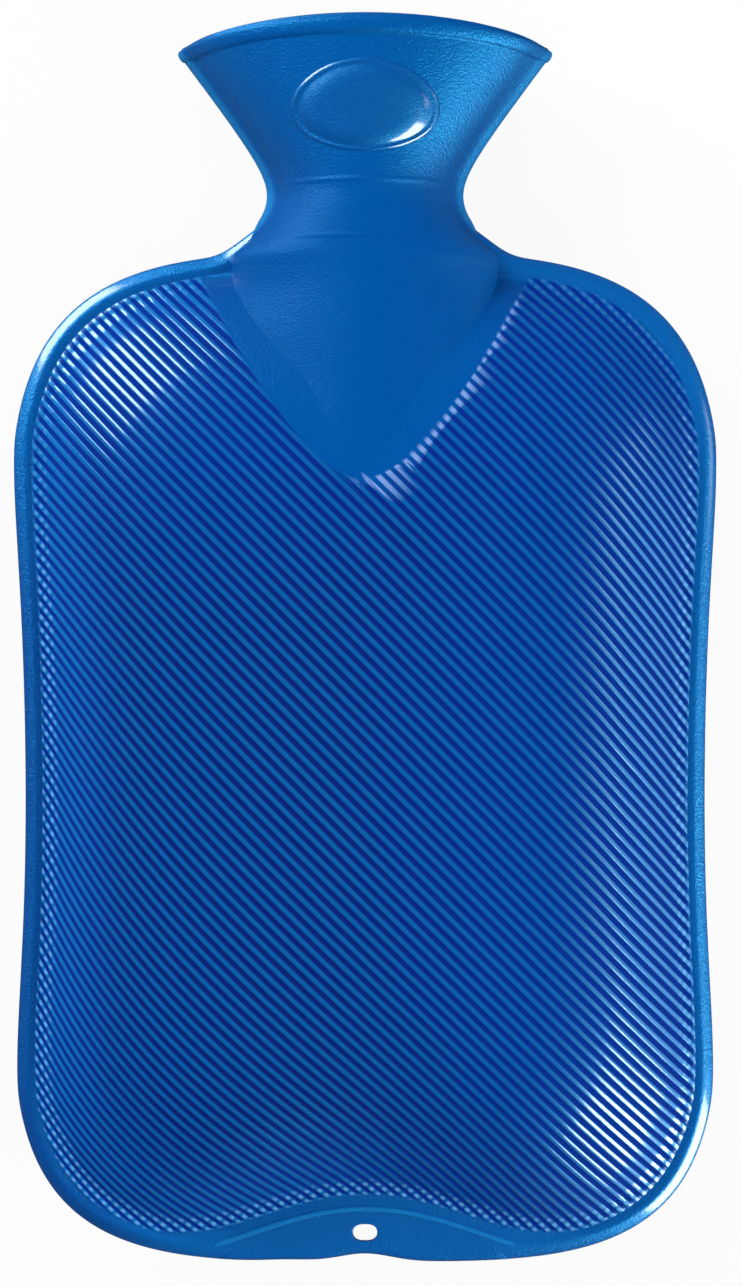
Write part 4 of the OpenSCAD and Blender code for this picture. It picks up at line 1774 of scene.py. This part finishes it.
@dataclass
class Stopper:
    """The screw stopper: hollow threaded plug, round head and wing grip."""

    head_low: float = 295.95
    head_thickness: float = 3.4
    head_radius: float = 18.5
    plug_radius: float = 13.44
    plug_length: float = 17.5
    plug_wall: float = 3.2
    thread_depth: float = 1.0
    lead: float = 5.0
    grip_width: float = 35.0
    grip_thickness: float = 7.0
    grip_height: float = 20.0
    grip_base: float = 0.3
    round_start: float = 0.6
    top_narrowing: float = 7.0
    top_thickness: float = 0.25
    press_place: float = 10.0
    press_spread: float = 5.0
    press_height: float = 0.5
    press_tall: float = 0.3
    press_depth: float = 0.28
    knurls: int = 36
    knurl_depth: float = 0.012
    around: int = 144

    def plug(self) -> Patch:
        """Plug and head as one turned shape, with the thread and a finely ribbed rim.

        The rim's radius is lessened by a share that follows a raised cosine of the angle
        times the number of knurls.

        Returns:
            The closed surface.
        """
        low = self.head_low - self.plug_length
        top = self.head_low + self.head_thickness
        core = self.plug_radius - self.plug_wall
        start = turned_rings([
            (0.01, self.head_low + 0.6), (core - 1.0, self.head_low + 0.6),
            (core, self.head_low - 0.4), (core, low + 0.4), (core + 0.4, low),
            (self.plug_radius - 0.9, low), (self.plug_radius - 0.2, low + 0.7),
        ], self.around)
        wall = threaded_wall(self.plug_radius, self.thread_depth, self.lead, low + 0.9,
                             self.head_low - 1.6, 80, self.around)
        head = turned_rings([
            (self.plug_radius - 0.2, self.head_low - 0.5), (self.plug_radius, self.head_low),
            (self.head_radius - 0.5, self.head_low), (self.head_radius, self.head_low + 0.5),
            (self.head_radius, top - 1.0), (self.head_radius - 0.4, top - 0.35),
            (self.head_radius - 1.2, top), (9.2, top), (8.4, top + 0.4), (7.4, top + 2.4),
            (6.0, top + 8.0), (0.01, top + 8.0),
        ], self.around)
        a = np.linspace(0.0, 2.0 * np.pi, self.around, endpoint=False)
        fine = 1.0 - self.knurl_depth * (0.5 + 0.5 * np.cos(self.knurls * a))
        head[3:5, :, 0] *= fine
        head[3:5, :, 2] *= fine
        rings = np.concatenate([start, wall, head])
        return ring_patch(rings, closed_ends=True, flip=True)

    def grip(self) -> Patch:
        """The wing: ovals with squared sides, stacked up and rounded off at the top.

        A point at angle a is (w |cos a|^(1/3), h, t |sin a|^(1/2)) with its signs, and the
        thickness t is thinned by a bell curve on each side where the fingers press.

        Returns:
            The closed surface.
        """
        base = self.head_low + self.head_thickness - self.grip_base
        rounded = 1.0 - self.round_start
        bend = np.sin(np.linspace(0.0, np.pi / 2, 16)[1:])
        straight = np.linspace(0.0, self.round_start, 14)
        s = np.concatenate([straight, self.round_start + rounded * bend])
        fall = np.clip((s - self.round_start) / rounded, 0.0, 1.0)
        shrink = np.sqrt(np.maximum(1.0 - fall**2, 0.0))
        half_w = self.grip_width / 2 - self.top_narrowing * (1.0 - shrink)
        thin = self.top_thickness + (1.0 - self.top_thickness) * shrink**0.5
        half_t = self.grip_thickness / 2 * thin
        a = np.linspace(0.0, 2.0 * np.pi, self.around, endpoint=False)
        c, d = np.cos(a), np.sin(a)
        x = half_w[:, None] * (np.sign(c) * np.abs(c) ** (1 / 3))[None, :]
        press = np.exp(-(((np.abs(x) - self.press_place) / self.press_spread) ** 2))
        press *= np.exp(-(((s[:, None] - self.press_height) / self.press_tall) ** 2))
        z = half_t[:, None] * np.sign(d) * np.abs(d) ** 0.5 * (1.0 - self.press_depth * press)
        h = base + (self.grip_height + self.grip_base) * np.broadcast_to(s[:, None], x.shape)
        return ring_patch(np.stack([x, h, -z], axis=-1), closed_ends=True, flip=True)

    def build(self, origin: Array, material: bpy.types.Material) -> bpy.types.Object:
        """Builds the stopper.

        Args:
            origin: Place of the bottom edge's middle at the seam, in metres.
            material: The stopper's finish.

        Returns:
            The stopper's object.
        """
        piece = make_piece("screw_stopper", [self.plug(), self.grip()], origin, material)
        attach(piece, "plug")
        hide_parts("stopper")
        return piece


# Studio


@dataclass(frozen=True)
class SoftBox:
    """One square soft lamp: its place and side in metres, its power and its use."""

    name: str
    place: tuple[float, float, float]
    side: float
    power: float
    use: LampUse

    def build(self, target: Array) -> None:
        """Hangs the lamp so that it faces the target.

        Args:
            target: The point it faces, in metres.
        """
        data = bpy.data.lights.new(self.name, "AREA")
        data.shape = "RECTANGLE"
        data.size = self.side
        data.size_y = self.side
        data.energy = self.power
        lamp = bpy.data.objects.new(self.name, data)
        way = target - np.array(self.place)
        lamp.location = self.place
        lamp.rotation_mode = "QUATERNION"
        lamp.rotation_quaternion = Vector(way.tolist()).to_track_quat("-Z", "Y")
        lamp.visible_glossy = self.use is LampUse.SHINE
        lamp.visible_diffuse = self.use is LampUse.FILL
        bpy.context.scene.collection.objects.link(lamp)
        lamp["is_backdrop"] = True


@dataclass(frozen=True)
class Studio:
    """Pale floor, soft light and the camera over the bottle."""

    photo_size: tuple[int, int] = (742, 1286)
    photo_middle: tuple[float, float] = (1.6, 168.7)
    millimetres_per_pixel: float = 192.0 / 704.0
    camera_distance: float = 1.15
    sensor_width: float = 36.0
    aim_height: float = 0.15
    floor_half: float = 4.0
    floor_tone: Colour = (0.88, 0.88, 0.88)
    floor_roughness: float = 0.9
    floor_glow_share: float = 0.92
    room_strength: float = 0.4
    gloss_up: Span = (0.1, 0.75)
    gloss_strength: Span = (0.04, 0.015)
    lamps: tuple[SoftBox, ...] = (
        SoftBox("shine_upper_left", (-0.86, 0.86, 0.42), 0.74, 30.0, LampUse.SHINE),
        SoftBox("shine_lower_right", (0.96, -0.72, 0.42), 0.76, 44.0, LampUse.SHINE),
        SoftBox("shine_right", (1.0, 0.17, 0.42), 0.3, 1.0, LampUse.SHINE),
        SoftBox("lamp_upper_left", (-0.9, 0.9, 0.8), 0.9, 17.0, LampUse.FILL),
        SoftBox("lamp_right", (1.1, -0.5, 0.8), 0.9, 10.5, LampUse.FILL),
        SoftBox("lamp_over", (0.1, 0.1, 1.9), 1.6, 3.7, LampUse.FILL),
    )

    def floor(self) -> None:
        """Lays the flat pale floor, which keeps the shadow and looks white to the camera.

        What the camera sees is mixed from a white glow and the lit floor. The gloss of the
        bottle doesn't show the floor.
        """
        half = self.floor_half
        edge = [(-half, -half, 0.0), (half, -half, 0.0), (half, half, 0.0), (-half, half, 0.0)]
        mesh = bpy.data.meshes.new("floor")
        mesh.from_pydata(edge, [], [(0, 1, 2, 3)])
        material, maker, shader = new_material("floor_white")
        shader.inputs["Base Color"].default_value = (*self.floor_tone, 1.0)
        shader.inputs["Roughness"].default_value = self.floor_roughness
        shader.inputs["Specular IOR Level"].default_value = 0.0
        glow = maker.add("ShaderNodeEmission", Color=(1.0, 1.0, 1.0), Strength=1.0)
        rays = maker.add("ShaderNodeLightPath").outputs
        seen = maker.math("MAXIMUM", rays["Is Camera Ray"], rays["Is Transmission Ray"])
        mixed = maker.add("ShaderNodeMixShader")
        maker.feed(mixed, 0, maker.math("MULTIPLY", seen, self.floor_glow_share))
        maker.feed(mixed, 1, shader.outputs[0])
        maker.feed(mixed, 2, glow.outputs[0])
        out = material.node_tree.nodes["Material Output"]
        maker.feed(out, "Surface", mixed.outputs[0])
        mesh.materials.append(material)
        floor = bpy.data.objects.new("floor", mesh)
        floor.visible_glossy = False
        bpy.context.scene.collection.objects.link(floor)
        floor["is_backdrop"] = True

    def sky(self) -> None:
        """Builds the room: white to the camera, plain grey light, and a dim gloss.

        The gloss is dimmer overhead than round about, so that the flat middle stays deep.
        """
        world = bpy.data.worlds.new("room")
        world.use_nodes = True
        bpy.context.scene.world = world
        maker = NodeMaker(world.node_tree)
        back = world.node_tree.nodes["Background"]
        rays = maker.add("ShaderNodeLightPath").outputs
        way = maker.add("ShaderNodeTexCoord").outputs["Generated"]
        up = maker.add("ShaderNodeSeparateXYZ", Vector=way).outputs["Z"]
        gloss = maker.ramp(up, self.gloss_up, self.gloss_strength)
        room = maker.math("MULTIPLY", rays["Is Diffuse Ray"], self.room_strength)
        seen = maker.math("MAXIMUM", rays["Is Camera Ray"], rays["Is Transmission Ray"])
        strength = maker.math("MAXIMUM", maker.math("MAXIMUM", room, gloss), seen)
        maker.feed(back, "Color", (1.0, 1.0, 1.0))
        maker.feed(back, "Strength", strength)

    def camera(self, foot: Array) -> None:
        """Sets the camera straight over the bottle at the photograph's framing.

        Args:
            foot: Place of the bottom edge's middle at the seam, in metres.
        """
        data = bpy.data.cameras.new("camera")
        tall = self.photo_size[1] * self.millimetres_per_pixel * MM
        data.sensor_width = self.sensor_width
        data.lens = data.sensor_width * self.camera_distance / tall
        eye = bpy.data.objects.new("camera", data)
        eye.location = (foot[0] + self.photo_middle[0] * MM,
                        foot[1] + self.photo_middle[1] * MM,
                        foot[2] + self.camera_distance)
        bpy.context.scene.collection.objects.link(eye)
        bpy.context.scene.camera = eye

    def build(self, foot: Array) -> None:
        """Builds floor, world, lamps and camera.

        Args:
            foot: Place of the bottom edge's middle at the seam, in metres.
        """
        self.floor()
        self.sky()
        aim = foot + np.array([0.0, self.aim_height, 0.0])
        for lamp in self.lamps:
            lamp.build(aim)
        self.camera(foot)


# Main


def corners() -> list[list[float]]:
    """The shown object's lowest and highest corner as plain lists."""
    return [[float(v) for v in corner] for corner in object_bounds()]


def main() -> None:
    """Builds the dressed bottle round the frame."""
    logging.basicConfig(level=logging.INFO, format="%(name)s: %(message)s")
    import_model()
    low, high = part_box("bottle")
    foot = np.array([(low.x + high.x) / 2, low.y, (low.z + high.z) / 2])
    surface = MouldedSurface()
    skin = BottleSkin(BottleForm()).build(foot, RibbedBlue().build(surface))
    closure = [
        NeckInsert().build(foot, INSERT_BLUE.build(surface)),
        SealWasher().build(foot, WASHER_GREY.build(surface)),
        Stopper().build(foot, STOPPER_BLUE.build(surface)),
    ]
    for piece in [skin, *closure]:
        LOG.info("%s: %d faces", piece.name, len(piece.data.polygons))
    Studio().build(foot)
    settings = bpy.context.scene.view_settings
    settings.view_transform = "Standard"


if __name__ == "__main__":
    main()
